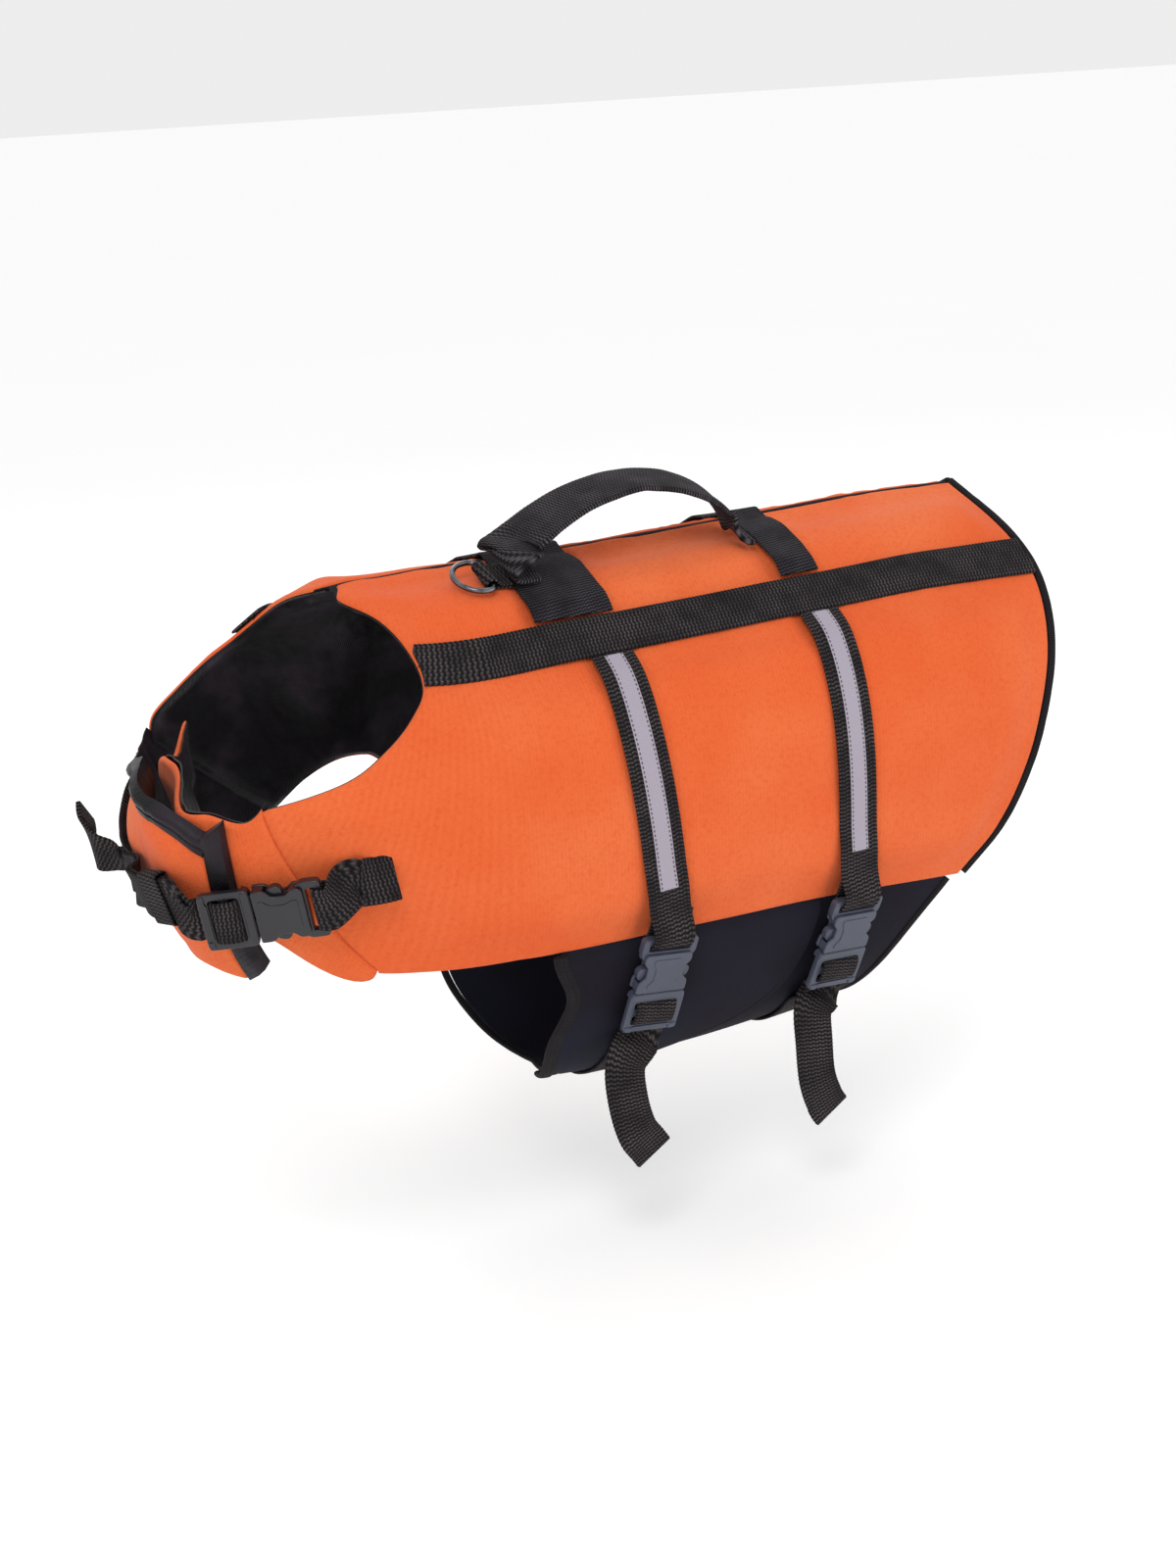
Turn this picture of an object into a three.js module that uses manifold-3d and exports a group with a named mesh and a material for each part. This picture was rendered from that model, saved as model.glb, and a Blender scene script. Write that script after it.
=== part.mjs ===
// A life jacket for a dog, filled out as it sits on the wearer, without the wearer.
// Millimetres, +Z up. The jacket faces -X, its left side is -Y. The origin is on the inner face
// of the back, on the spine, half way along it.
import * as THREE from 'three';
import { mergeVertices } from 'three/addons/utils/BufferGeometryUtils.js';
import Module from 'manifold-3d';

const wasm = await Module();
wasm.setup();

// Driving sizes
const clearance = 0.3;
const webWidth = 25;
const webThick = 1.6;
const liningThick = 1;
const foamInner = liningThick + 0.5;
const foamEdge = 3;
const foamFull = 9;
const flapEdge = 3.5;
const flapFull = 6.5;
const stripHalf = 13;
const stripThick = 2;
const seamDepth = 82;
const bellyThick = 2.6;
const nearFlapInner = 3.2;
const strapGap = 0.7;
const left = -1;
const right = 1;

// The planes of the sections stand upright behind this line and lean forward, as a fan, before it.
const fan = { x: -142, z: 82 };

// One row for each section of the general figure: where its plane meets the spine, how far the spine
// is raised, how deep the section is, its half width, how far down it is widest, the slope beside the
// spine in degrees, and how full its lower corner is.
const sections = [
  { x: -240, rise: -4, depth: 108, half: 76, widest: 62, slope: 17, full: 0.80 },
  { x: -223, rise: -3, depth: 129, half: 81, widest: 70, slope: 17, full: 0.80 },
  { x: -205, rise: -2, depth: 163, half: 87, widest: 80, slope: 17, full: 0.76 },
  { x: -185, rise: 0, depth: 216, half: 94, widest: 92, slope: 18, full: 0.70 },
  { x: -168, rise: 0, depth: 254, half: 97, widest: 106, slope: 20, full: 0.66 },
  { x: -142, rise: 1, depth: 290, half: 100, widest: 118, slope: 23, full: 0.64 },
  { x: -109, rise: 1, depth: 298, half: 104, widest: 122, slope: 24, full: 0.62 },
  { x: -65, rise: 1, depth: 302, half: 107, widest: 122, slope: 24, full: 0.60 },
  { x: 0, rise: 2, depth: 303, half: 110, widest: 124, slope: 24, full: 0.60 },
  { x: 76, rise: 4, depth: 300, half: 110, widest: 123, slope: 24, full: 0.60 },
  { x: 142, rise: 6, depth: 296, half: 108, widest: 122, slope: 24, full: 0.60 },
  { x: 223, rise: 5, depth: 287, half: 104, widest: 119, slope: 24, full: 0.60 },
];

// The neck edge of each side, as the plane that it meets at each distance down from the spine.
const neckEdge = [
  { down: 0, leftX: -199, rightX: -200 },
  { down: 20, leftX: -195, rightX: -200 },
  { down: 46, leftX: -181, rightX: -198 },
  { down: 75, leftX: -171, rightX: -196 },
  { down: 95, leftX: -168, rightX: -199 },
  { down: 110, leftX: -172, rightX: -205 },
  { down: 128, leftX: -179, rightX: -210 },
  { down: 146, leftX: -188, rightX: -213 },
  { down: 163, leftX: -207, rightX: -208 },
];

// The rear edge, in the same way.
const rearEdge = [
  { down: 0, x: 211 },
  { down: 60, x: 214 },
  { down: 97, x: 214 },
  { down: 137, x: 209 },
  { down: 170, x: 201 },
  { down: 202, x: 191 },
  { down: 240, x: 172 },
  { down: 265, x: 150 },
  { down: 298, x: 120 },
  { down: 328, x: 105 },
  { down: 365, x: 97 },
  { down: 430, x: 93 },
];

// The height of the lower edge of the orange cloth on each side. The right one arches over the leg.
const lowerEdge = [
  { x: -223, leftZ: -150, rightZ: -150 },
  { x: -184, leftZ: -165, rightZ: -160 },
  { x: -168, leftZ: -187, rightZ: -150 },
  { x: -158, leftZ: -193, rightZ: -131 },
  { x: -148, leftZ: -196, rightZ: -123 },
  { x: -136, leftZ: -197, rightZ: -128 },
  { x: -114, leftZ: -197, rightZ: -150 },
  { x: -85, leftZ: -197, rightZ: -180 },
  { x: -44, leftZ: -197, rightZ: -194 },
  { x: 44, leftZ: -198, rightZ: -198 },
  { x: 148, leftZ: -206, rightZ: -206 },
  { x: 223, leftZ: -212, rightZ: -212 },
];

// The front edge of the belly flaps.
const legEdge = [
  { down: 190, x: -118 },
  { down: 255, x: -118 },
  { down: 285, x: -108 },
  { down: 318, x: -114 },
  { down: 357, x: -106 },
  { down: 400, x: -93 },
  { down: 440, x: -86 },
];

const smooth = (value) => {
  const clamped = Math.min(Math.max(value, 0), 1);
  return clamped * clamped * (3 - 2 * clamped);
};
const mix = (from, to, share) => from + (to - from) * share;
const vector = (x, y, z) => new THREE.Vector3(x, y, z);

// A column of a table as a smooth curve through its rows.
function along(table, key, column, value) {
  let row = 0;
  while (row < table.length - 2 && value > table[row + 1][key]) row += 1;
  const slopeAt = (index) => {
    const before = table[Math.max(index - 1, 0)];
    const after = table[Math.min(index + 1, table.length - 1)];
    return (after[column] - before[column]) / (after[key] - before[key]);
  };
  const start = table[row];
  const end = table[row + 1];
  const span = end[key] - start[key];
  const t = Math.min(Math.max((value - start[key]) / span, 0), 1);
  const rise = end[column] - start[column];
  const bend = t * (1 - t);
  const before = (slopeAt(row) * span - rise) * bend * (1 - t);
  const after = (slopeAt(row + 1) * span - rise) * bend * t;
  return start[column] + rise * t + before - after;
}

// One half of a section: two curves, from the spine to the widest point and on to the bottom.
const profiles = new Map();
function profileAt(x) {
  const key = Math.round(x * 50);
  if (profiles.has(key)) return profiles.get(key);
  const at = (column) => along(sections, 'x', column, x);
  const half = at('half');
  const widest = at('widest');
  const depth = at('depth');
  const full = at('full');
  const slope = THREE.MathUtils.degToRad(at('slope'));
  const shoulder = 0.5 * half;
  const low = depth - widest;
  const curves = [
    new THREE.CubicBezierCurve(
      new THREE.Vector2(0, 0),
      new THREE.Vector2(shoulder * Math.cos(slope), shoulder * Math.sin(slope)),
      new THREE.Vector2(half, widest * 0.26),
      new THREE.Vector2(half, widest),
    ),
    new THREE.CubicBezierCurve(
      new THREE.Vector2(half, widest),
      new THREE.Vector2(half, widest + low * full),
      new THREE.Vector2(half * full, depth),
      new THREE.Vector2(0, depth),
    ),
  ];
  curves.forEach((curve) => { curve.arcLengthDivisions = 80; });
  const lengths = curves.map((curve) => curve.getLength());
  const lean = x < fan.x ? Math.atan((fan.x - x) / fan.z) : 0;
  const profile = { curves, lengths, lean, rise: at('rise'), girth: lengths[0] + lengths[1] };
  profiles.set(key, profile);
  return profile;
}

const halfGirth = (x) => profileAt(x).girth;

// A point of the figure: side, plane, distance down from the spine.
function figurePoint(side, x, down) {
  const profile = profileAt(x);
  let reach = down;
  let sign = side;
  if (reach > profile.girth) {
    reach = 2 * profile.girth - reach;
    sign = -sign;
  }
  if (reach < 0) {
    reach = -reach;
    sign = -sign;
  }
  const [upper, lower] = profile.lengths;
  const point = reach < upper
    ? profile.curves[0].getPointAt(reach / upper)
    : profile.curves[1].getPointAt(Math.min((reach - upper) / lower, 1));
  return vector(
    x - point.y * Math.sin(profile.lean),
    sign * point.x,
    profile.rise - point.y * Math.cos(profile.lean),
  );
}

// The outward normal there.
function figureNormal(side, x, down) {
  const step = 1;
  const alongX = figurePoint(side, x + step, down).sub(figurePoint(side, x - step, down));
  const girth = halfGirth(x);
  if (down < step || down > girth - step) {
    const across = vector(0, 1, 0);
    const normal = alongX.clone().cross(across).normalize();
    return down < step === normal.z < 0 ? normal.negate() : normal;
  }
  const alongDown = figurePoint(side, x, down + step).sub(figurePoint(side, x, down - step));
  const normal = alongX.cross(alongDown).normalize();
  return side < 0 ? normal.negate() : normal;
}

function raised(side, x, down, height) {
  let sign = side;
  let reach = down;
  const girth = halfGirth(x);
  if (reach > girth) {
    reach = 2 * girth - reach;
    sign = -sign;
  }
  if (reach < 0) {
    reach = -reach;
    sign = -sign;
  }
  const point = figurePoint(sign, x, reach);
  return point.add(figureNormal(sign, x, reach).multiplyScalar(height));
}

// How far down the figure reaches a height.
function downAtHeight(x, z) {
  let above = 0;
  let below = halfGirth(x);
  for (let pass = 0; pass < 24; pass += 1) {
    const middle = (above + below) / 2;
    if (figurePoint(left, x, middle).z > z) above = middle;
    else below = middle;
  }
  return (above + below) / 2;
}

const lowerCache = new Map();
function lowerDown(side, x) {
  const key = side * 100000 + Math.round(x * 10);
  if (!lowerCache.has(key)) {
    const column = side < 0 ? 'leftZ' : 'rightZ';
    lowerCache.set(key, downAtHeight(x, along(lowerEdge, 'x', column, x)));
  }
  return lowerCache.get(key);
}

// The seam between a side panel and its chest flap runs from the neck edge to the lower edge.
const chestSeam = { neckDown: 163, neckX: -207, lowX: -166 };
const chestSeamLow = (side) => lowerDown(side, chestSeam.lowX);
function seamX(side, down) {
  const share = (down - chestSeam.neckDown) / (chestSeamLow(side) - chestSeam.neckDown);
  return mix(chestSeam.neckX, chestSeam.lowX, Math.min(share, 1));
}
const neckX = (side, down) => along(neckEdge, 'down', side < 0 ? 'leftX' : 'rightX', down);
const rearX = (down) => along(rearEdge, 'down', 'x', down);
// Where the lower edge of a side meets its rear edge.
function cornerAt(side) {
  let front = 60;
  let rear = 215;
  for (let pass = 0; pass < 20; pass += 1) {
    const x = (front + rear) / 2;
    if (rearX(lowerDown(side, x)) > x) front = x;
    else rear = x;
  }
  return (front + rear) / 2;
}
const rearCornerX = cornerAt(right);
const sideFrontX = (side, down) => (
  down < chestSeam.neckDown ? neckX(side, down) : seamX(side, down)
);

// How thick the padding is, from the distances to the edges of its panel.
const puff = (distance, flat, ramp) => smooth((distance - flat) / ramp);
function backFoam(side, x, down) {
  const lift = puff(down - stripHalf, 0, 28) * puff(seamDepth - down, 12, 22)
    * puff(x - neckX(side, down), 0, 20) * puff(rearX(down) - x, 2, 22);
  return mix(foamEdge, foamFull, lift);
}
function sideFoam(side, x, down) {
  const lift = puff(down - seamDepth, 12, 30) * puff(lowerDown(side, x) - down, 0, 30)
    * puff(x - sideFrontX(side, down), 0, 34) * puff(rearX(down) - x, 4, 30);
  return mix(foamEdge, foamFull, lift);
}

// Closed bodies
function closedMesh(positions, indices) {
  let volume = 0;
  for (let at = 0; at < indices.length; at += 3) {
    const [a, b, c] = [0, 1, 2].map((corner) => positions[indices[at + corner]]);
    volume += a.dot(b.clone().cross(c));
  }
  if (volume < 0) indices.reverse();
  const geometry = new THREE.BufferGeometry();
  const flat = positions.flatMap((point) => [point.x, point.y, point.z]);
  geometry.setAttribute('position', new THREE.Float32BufferAttribute(flat, 3));
  geometry.setIndex(indices);
  return geometry;
}

// A wall between two grids of points that have the same rows and columns.
function wall(inner, outer) {
  const rows = inner.length;
  const columns = inner[0].length;
  const positions = [...inner.flat(), ...outer.flat()];
  const layer = rows * columns;
  const at = (row, column, level) => level * layer + row * columns + column;
  const indices = [];
  const quad = (a, b, c, d) => indices.push(a, b, c, a, c, d);
  for (let row = 0; row < rows - 1; row += 1) {
    for (let column = 0; column < columns - 1; column += 1) {
      quad(at(row, column, 0), at(row, column + 1, 0), at(row + 1, column + 1, 0), at(row + 1, column, 0));
      quad(at(row, column, 1), at(row + 1, column, 1), at(row + 1, column + 1, 1), at(row, column + 1, 1));
    }
  }
  for (let row = 0; row < rows - 1; row += 1) {
    const last = columns - 1;
    quad(at(row, 0, 0), at(row + 1, 0, 0), at(row + 1, 0, 1), at(row, 0, 1));
    quad(at(row + 1, last, 0), at(row, last, 0), at(row, last, 1), at(row + 1, last, 1));
  }
  for (let column = 0; column < columns - 1; column += 1) {
    const last = rows - 1;
    quad(at(0, column + 1, 0), at(0, column, 0), at(0, column, 1), at(0, column + 1, 1));
    quad(at(last, column, 0), at(last, column + 1, 0), at(last, column + 1, 1), at(last, column, 1));
  }
  return closedMesh(positions, indices);
}

// A patch between four edge curves, each giving a place { x, down } for a share from 0 to 1.
function patchPlace(edges, s, t) {
  const place = {};
  for (const key of ['x', 'down']) {
    const across = mix(edges.top(s)[key], edges.bottom(s)[key], t);
    const lengthwise = mix(edges.front(t)[key], edges.rear(t)[key], s);
    const front = mix(edges.top(0)[key], edges.bottom(0)[key], t);
    const rear = mix(edges.top(1)[key], edges.bottom(1)[key], t);
    place[key] = across + lengthwise - mix(front, rear, s);
  }
  return place;
}

function patchGrid(side, edges, height, alongShares, acrossShares) {
  return alongShares.map((s) => acrossShares.map((t) => {
    const place = patchPlace(edges, s, t);
    return raised(side, place.x, place.down, height(place.x, place.down));
  }));
}

function patch(side, edges, heights, alongShares, acrossShares) {
  return wall(
    patchGrid(side, edges, heights.inner, alongShares, acrossShares),
    patchGrid(side, edges, heights.outer, alongShares, acrossShares),
  );
}

// A flat ribbon through places, each a point with the direction across it. It thickens to the side
// that run x across points to.
function ribbon(path, width, thick) {
  const sides = path.map((place, index) => {
    const before = path[Math.max(index - 1, 0)].point;
    const after = path[Math.min(index + 1, path.length - 1)].point;
    const run = after.clone().sub(before).normalize();
    const out = run.clone().cross(place.across).normalize();
    return { point: place.point, out, across: out.clone().cross(run).normalize() };
  });
  const edge = (place, sideways, outward) => place.point.clone()
    .add(place.across.clone().multiplyScalar(sideways * width / 2))
    .add(place.out.clone().multiplyScalar(outward * thick));
  const inner = sides.map((place) => [edge(place, -1, 0), edge(place, 1, 0)]);
  const outer = sides.map((place) => [edge(place, -1, 1), edge(place, 1, 1)]);
  return wall(inner, outer);
}

// A closed ring of round wire through points in order.
function wireRing(points, radius, sides) {
  const count = points.length;
  const centre = points.reduce((sum, point) => sum.add(point), vector(0, 0, 0)).divideScalar(count);
  const flatNormal = points[1].clone().sub(points[0]).cross(points[4].clone().sub(points[0])).normalize();
  const positions = [];
  const indices = [];
  points.forEach((point, index) => {
    const run = points[(index + 1) % count].clone().sub(points[(index + count - 1) % count]).normalize();
    const sideways = run.clone().cross(flatNormal).normalize();
    for (let step = 0; step < sides; step += 1) {
      const turn = 2 * Math.PI * step / sides;
      positions.push(point.clone()
        .add(sideways.clone().multiplyScalar(radius * Math.cos(turn)))
        .add(flatNormal.clone().multiplyScalar(radius * Math.sin(turn)))
        .sub(centre));
      const next = (index + 1) % count;
      const a = index * sides + step;
      const b = index * sides + (step + 1) % sides;
      const c = next * sides + (step + 1) % sides;
      const d = next * sides + step;
      indices.push(a, b, c, a, c, d);
    }
  });
  const geometry = closedMesh(positions, indices);
  geometry.translate(centre.x, centre.y, centre.z);
  return geometry;
}

function solidOf(geometry) {
  const bare = geometry.clone();
  bare.deleteAttribute('normal');
  bare.deleteAttribute('uv');
  const merged = mergeVertices(bare, 1e-4);
  return new wasm.Manifold(new wasm.Mesh({
    numProp: 3,
    vertProperties: new Float32Array(merged.attributes.position.array),
    triVerts: new Uint32Array(merged.index.array),
  }));
}

function geometryOf(solid) {
  const mesh = solid.getMesh();
  const geometry = new THREE.BufferGeometry();
  geometry.setAttribute('position', new THREE.BufferAttribute(mesh.vertProperties, 3));
  geometry.setIndex(new THREE.BufferAttribute(mesh.triVerts, 1));
  return geometry;
}

const group = new THREE.Group();
group.name = 'dog_life_jacket';
const finishes = {
  orange: { color: 0xee6c3e, roughness: 0.82, metalness: 0 },
  lining: { color: 0x1e191f, roughness: 0.5, metalness: 0 },
  webbing: { color: 0x2c2829, roughness: 0.8, metalness: 0 },
  mesh: { color: 0x262426, roughness: 0.85, metalness: 0 },
  reflective: { color: 0xa59ea8, roughness: 0.4, metalness: 0.1 },
  belly: { color: 0x1e1c26, roughness: 0.9, metalness: 0 },
  greyBuckle: { color: 0x555a69, roughness: 0.42, metalness: 0 },
  darkBuckle: { color: 0x3c3a3e, roughness: 0.42, metalness: 0 },
  chrome: { color: 0xbfc0c4, roughness: 0.2, metalness: 1 },
};
function add(name, geometry, finish) {
  const mesh = new THREE.Mesh(geometry, new THREE.MeshStandardMaterial(finishes[finish]));
  mesh.name = name;
  group.add(mesh);
  return mesh;
}
const sideName = (side) => (side < 0 ? 'left' : 'right');
const gapHalf = clearance / 2;
const even = (count) => Array.from({ length: count + 1 }, (unused, index) => index / count);
const crowded = (count) => {
  const inside = even(count).slice(1, -1);
  return [0, 0.3 / count, ...inside, 1 - 0.3 / count, 1];
};

// Padded panels of the back and the sides, with a lining inside each half. The lining has the rows and
// columns of both panels.
const cornerEase = 5;
const panelRows = crowded(18);
const backColumns = [0, 0.1, 0.22, 0.4, 0.6, 0.81, 1];
const sideColumns = [0, 0.08, 0.18, 0.28, 0.38, 0.49, 0.6, 0.71, 0.82, 0.92, 1];
function backEdges(side) {
  const top = stripHalf + gapHalf;
  const low = seamDepth - gapHalf;
  const frontX = (down) => neckX(side, down) + cornerEase * (1 - smooth((down - stripHalf) / 9));
  return {
    top: (s) => ({ x: mix(frontX(top), rearX(top), s), down: top }),
    bottom: (s) => ({ x: mix(frontX(low), rearX(low), s), down: low }),
    front: (t) => ({ x: frontX(mix(top, low, t)), down: mix(top, low, t) }),
    rear: (t) => ({ x: rearX(mix(top, low, t)), down: mix(top, low, t) }),
  };
}
function sideEdges(side) {
  const top = seamDepth + gapHalf;
  const lowFront = chestSeamLow(side);
  const lowRear = lowerDown(side, rearCornerX);
  return {
    top: (s) => ({ x: mix(neckX(side, top), rearX(top), s), down: top }),
    bottom: (s) => {
      const x = mix(chestSeam.lowX + gapHalf, rearCornerX, s);
      return { x, down: lowerDown(side, x) };
    },
    front: (t) => {
      const down = mix(top, lowFront, t);
      return { x: sideFrontX(side, down) + gapHalf * smooth((down - chestSeam.neckDown) / 3), down };
    },
    rear: (t) => {
      const down = mix(top, lowRear, t);
      return { x: rearX(down), down };
    },
  };
}
for (const side of [left, right]) {
  const name = sideName(side);
  const back = backEdges(side);
  const flank = sideEdges(side);
  const foam = (thickness) => ({
    inner: () => foamInner,
    outer: (x, down) => foamInner + thickness(side, x, down),
  });
  add(`back_panel_${name}`, patch(side, back, foam(backFoam), panelRows, backColumns), 'orange');
  add(`side_panel_${name}`, patch(side, flank, foam(sideFoam), panelRows, sideColumns), 'orange');
  const liningGrid = (height) => {
    const upper = patchGrid(side, back, height, panelRows, backColumns);
    const lower = patchGrid(side, flank, height, panelRows, sideColumns);
    return panelRows.map((s, row) => [
      raised(side, back.top(s).x - 2 * s, gapHalf, height()), ...upper[row], ...lower[row],
    ]);
  };
  add(`lining_${name}`, wall(liningGrid(() => 0), liningGrid(() => liningThick)), 'lining');
}

// The chest flaps wrap round the front: q is the way past the middle of the chest.
const flapTables = {
  [left]: {
    neck: [
      { q: -109, x: -207 }, { q: -85, x: -215 }, { q: -66, x: -220 }, { q: -22, x: -224 },
      { q: 30, x: -224 }, { q: 70, x: -216 }, { q: 96, x: -209 }, { q: 116, x: -212 },
    ],
    low: [
      { q: -112, x: -166 }, { q: -89, x: -184 }, { q: -45, x: -192 }, { q: 10, x: -197 },
      { q: 65, x: -200 }, { q: 104, x: -199 },
    ],
  },
  [right]: {
    neck: [
      { q: -109, x: -207 }, { q: -92, x: -209 }, { q: -72, x: -213 }, { q: -50, x: -218 },
      { q: -20, x: -225 }, { q: 20, x: -231 }, { q: 50, x: -226 }, { q: 72, x: -211 },
    ],
    low: [
      { q: -112, x: -166 }, { q: -89, x: -178 }, { q: -45, x: -185 }, { q: 10, x: -188 },
      { q: 40, x: -188 }, { q: 62, x: -184 },
    ],
  },
};
// The near flap sinks under the far one, which lifts over it and leans in along its neck edge.
const overLift = 8.5;
const underGap = 0.9;
const nearSink = 27;
const neckLean = 11;
const flapLong = 180;
const flapTall = 42;
const rimWide = 6;
const rimGap = 0.9;
function flapLift(side, q, s, t) {
  if (side < 0) return -nearSink * smooth((q + 70) / 80);
  const lean = neckLean * smooth(s / 0.2) * (1 - smooth(q / 42)) * (1 - smooth(t / 0.5));
  return underGap + overLift * smooth((q + 10) / 60) - lean;
}
function flapEdges(side) {
  const { neck, low } = flapTables[side];
  const seamTop = { x: chestSeam.neckX, down: chestSeam.neckDown };
  const seamLow = { x: chestSeam.lowX, down: chestSeamLow(side) };
  const seamQ = (place) => place.down - halfGirth(place.x);
  const neckStart = seamQ(seamTop);
  const lowStart = seamQ(seamLow);
  const neckPlace = (s) => {
    const q = mix(neckStart, neck[neck.length - 1].q, s);
    const x = mix(seamTop.x, along(neck, 'q', 'x', q), smooth(s / 0.15));
    return { x, down: halfGirth(x) + q };
  };
  const lowPlace = (s) => {
    const q = mix(lowStart, low[low.length - 1].q, s);
    const x = mix(seamLow.x, along(low, 'q', 'x', q), smooth(s / 0.15));
    return { x, down: halfGirth(x) + q };
  };
  const neckEnd = neckPlace(1);
  const lowEnd = lowPlace(1);
  return {
    top: neckPlace,
    bottom: lowPlace,
    front: (t) => ({
      x: mix(seamTop.x, seamLow.x, t) - gapHalf,
      down: mix(seamTop.down, seamLow.down, t) + gapHalf,
    }),
    rear: (t) => {
      const x = mix(neckEnd.x, lowEnd.x, t);
      const q = mix(neckEnd.down - halfGirth(neckEnd.x), lowEnd.down - halfGirth(lowEnd.x), t);
      return { x, down: halfGirth(x) + q };
    },
  };
}
for (const side of [left, right]) {
  const edges = flapEdges(side);
  const place = (s, t) => patchPlace(edges, s, t);
  const grid = (height) => crowded(13).map((s) => [0, 0.12, 0.35, 0.65, 0.88, 1].map((t) => {
    const spot = place(s, t);
    const q = spot.down - halfGirth(spot.x);
    return raised(side, spot.x, spot.down, height(q, s, t) + flapLift(side, q, s, t));
  }));
  const padding = (s, t) => mix(flapEdge, flapFull,
    puff(t, 0, 0.25) * puff(1 - t, 0, 0.25) * puff(1 - s, 0, 0.12) * puff(s, 0, 0.1));
  add(`chest_flap_${sideName(side)}`,
    wall(grid(() => foamInner), grid((q, s, t) => foamInner + padding(s, t))), 'orange');
  if (side < 0) {
    add('chest_lining_left', wall(grid(() => 0), grid(() => liningThick)), 'lining');
  } else {
    const rimEnd = rimWide / flapLong;
    const rimTop = rimWide / flapTall;
    const alongRim = [...crowded(13), 1 + clearance / flapLong, 1 + rimEnd];
    const acrossRim = [-rimTop, -rimGap / flapTall, 0, 0.12, 0.35, 0.65, 0.88, 1];
    const rimmed = (height) => alongRim.map((s) => acrossRim.map((t) => {
      const spot = place(s, t);
      const q = spot.down - halfGirth(spot.x);
      return raised(side, spot.x, spot.down, height(s, t) + flapLift(side, q, s, t));
    }));
    const beyond = (s, t) => s > 1 + gapHalf / flapLong || (t < -gapHalf / flapTall && s > 0.3);
    add('chest_lining_right', wall(rimmed(() => 0), rimmed((s, t) => (
      beyond(s, t) ? foamInner + flapEdge - 0.6 : liningThick
    ))), 'lining');
  }
}

// The strip along the spine
const spineColumns = [-stripHalf, -stripHalf / 2, 0, stripHalf / 2, stripHalf]
  .map((down) => down * (1 - gapHalf / stripHalf));
const spineGrid = (height) => panelRows.map((s) => spineColumns.map((down) => {
  const lean = (down / stripHalf + 1) / 2;
  const front = mix(backEdges(left).top(s).x, backEdges(right).top(s).x, lean);
  const x = front - s * (1 - Math.abs(down) / stripHalf);
  return raised(down < 0 ? left : right, x, Math.abs(down), height);
}));
add('spine_strip', wall(spineGrid(foamInner), spineGrid(foamInner + stripThick)), 'mesh');

// Webbing that covers the seam between the back and the side
const webBase = foamInner + foamEdge + clearance + 0.2;
const longWebHeights = { inner: () => webBase, outer: () => webBase + webThick };
for (const side of [left, right]) {
  const top = seamDepth - webWidth / 2;
  const low = seamDepth + webWidth / 2;
  add(`long_webbing_${sideName(side)}`, patch(side, {
    top: (s) => ({ x: mix(neckX(side, top) - 0.5, rearX(top) - clearance, s), down: top }),
    bottom: (s) => ({ x: mix(neckX(side, low) - 0.5, rearX(low) - clearance, s), down: low }),
    front: (t) => ({ x: neckX(side, mix(top, low, t)) - 0.5, down: mix(top, low, t) }),
    rear: (t) => ({ x: rearX(mix(top, low, t)) - clearance, down: mix(top, low, t) }),
  }, longWebHeights, panelRows, [0, 0.5, 1]), 'webbing');
}

// Bindings along the rear edge and round the belly
const bindWidth = 5;
const bindTall = 4.6;
for (const side of [left, right]) {
  const low = lowerDown(side, rearCornerX);
  const rows = even(20).map((t) => mix(gapHalf, low, t));
  const grid = (height) => rows.map((down) => [clearance, clearance + bindWidth]
    .map((shift) => raised(side, rearX(down) + shift, down, height)));
  add(`rear_binding_${sideName(side)}`, wall(grid(0.2), grid(bindTall)), 'webbing');
}

// The belly: the right flap passes under the left one and reaches the left lower edge at the rear.
const bellyFrontX = (down) => along(legEdge, 'down', 'x', down);
const foldAt = (x, down) => (down > halfGirth(x) ? 2 * halfGirth(x) - down : down);
const foldFrontX = (down) => bellyFrontX(foldAt(-88, down));
const foldRearX = (down) => rearX(foldAt(98, down)) - clearance;
const panelGap = 0.8;
const rightStart = (x) => lowerDown(right, x) + panelGap;
const rightEnd = (x) => 2 * halfGirth(x) - lowerDown(left, x) - panelGap - 26 * (1 - smooth((x + 20) / 50));
const bellyRows = even(18);
const frontDowns = { start: rightStart(-118), end: rightEnd(-110) };
const rearDowns = { start: rightStart(rearCornerX), end: rightEnd(rearCornerX) };
function bellyRight() {
  const startX = (s) => mix(foldFrontX(frontDowns.start), foldRearX(rearDowns.start), s);
  const endX = (s) => mix(foldFrontX(frontDowns.end), foldRearX(rearDowns.end), s);
  const sideAt = (edge, downs, t) => {
    const down = mix(downs.start, downs.end, t);
    return { x: edge(down), down };
  };
  const topFix = [frontDowns.start - rightStart(startX(0)), rearDowns.start - rightStart(startX(1))];
  const endFix = [frontDowns.end - rightEnd(endX(0)), rearDowns.end - rightEnd(endX(1))];
  const topDown = (s) => rightStart(startX(s)) + mix(topFix[0], topFix[1], s);
  const endDown = (s) => rightEnd(endX(s)) + mix(endFix[0], endFix[1], s);
  return patch(right, {
    top: (s) => ({ x: startX(s), down: topDown(s) }),
    bottom: (s) => ({ x: endX(s), down: endDown(s) }),
    front: (t) => sideAt(foldFrontX, frontDowns, t),
    rear: (t) => sideAt(foldRearX, rearDowns, t),
  }, { inner: () => 0.2, outer: () => bellyThick }, even(20), bellyRows);
}
add('belly_flap_right', bellyRight(), 'belly');

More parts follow.
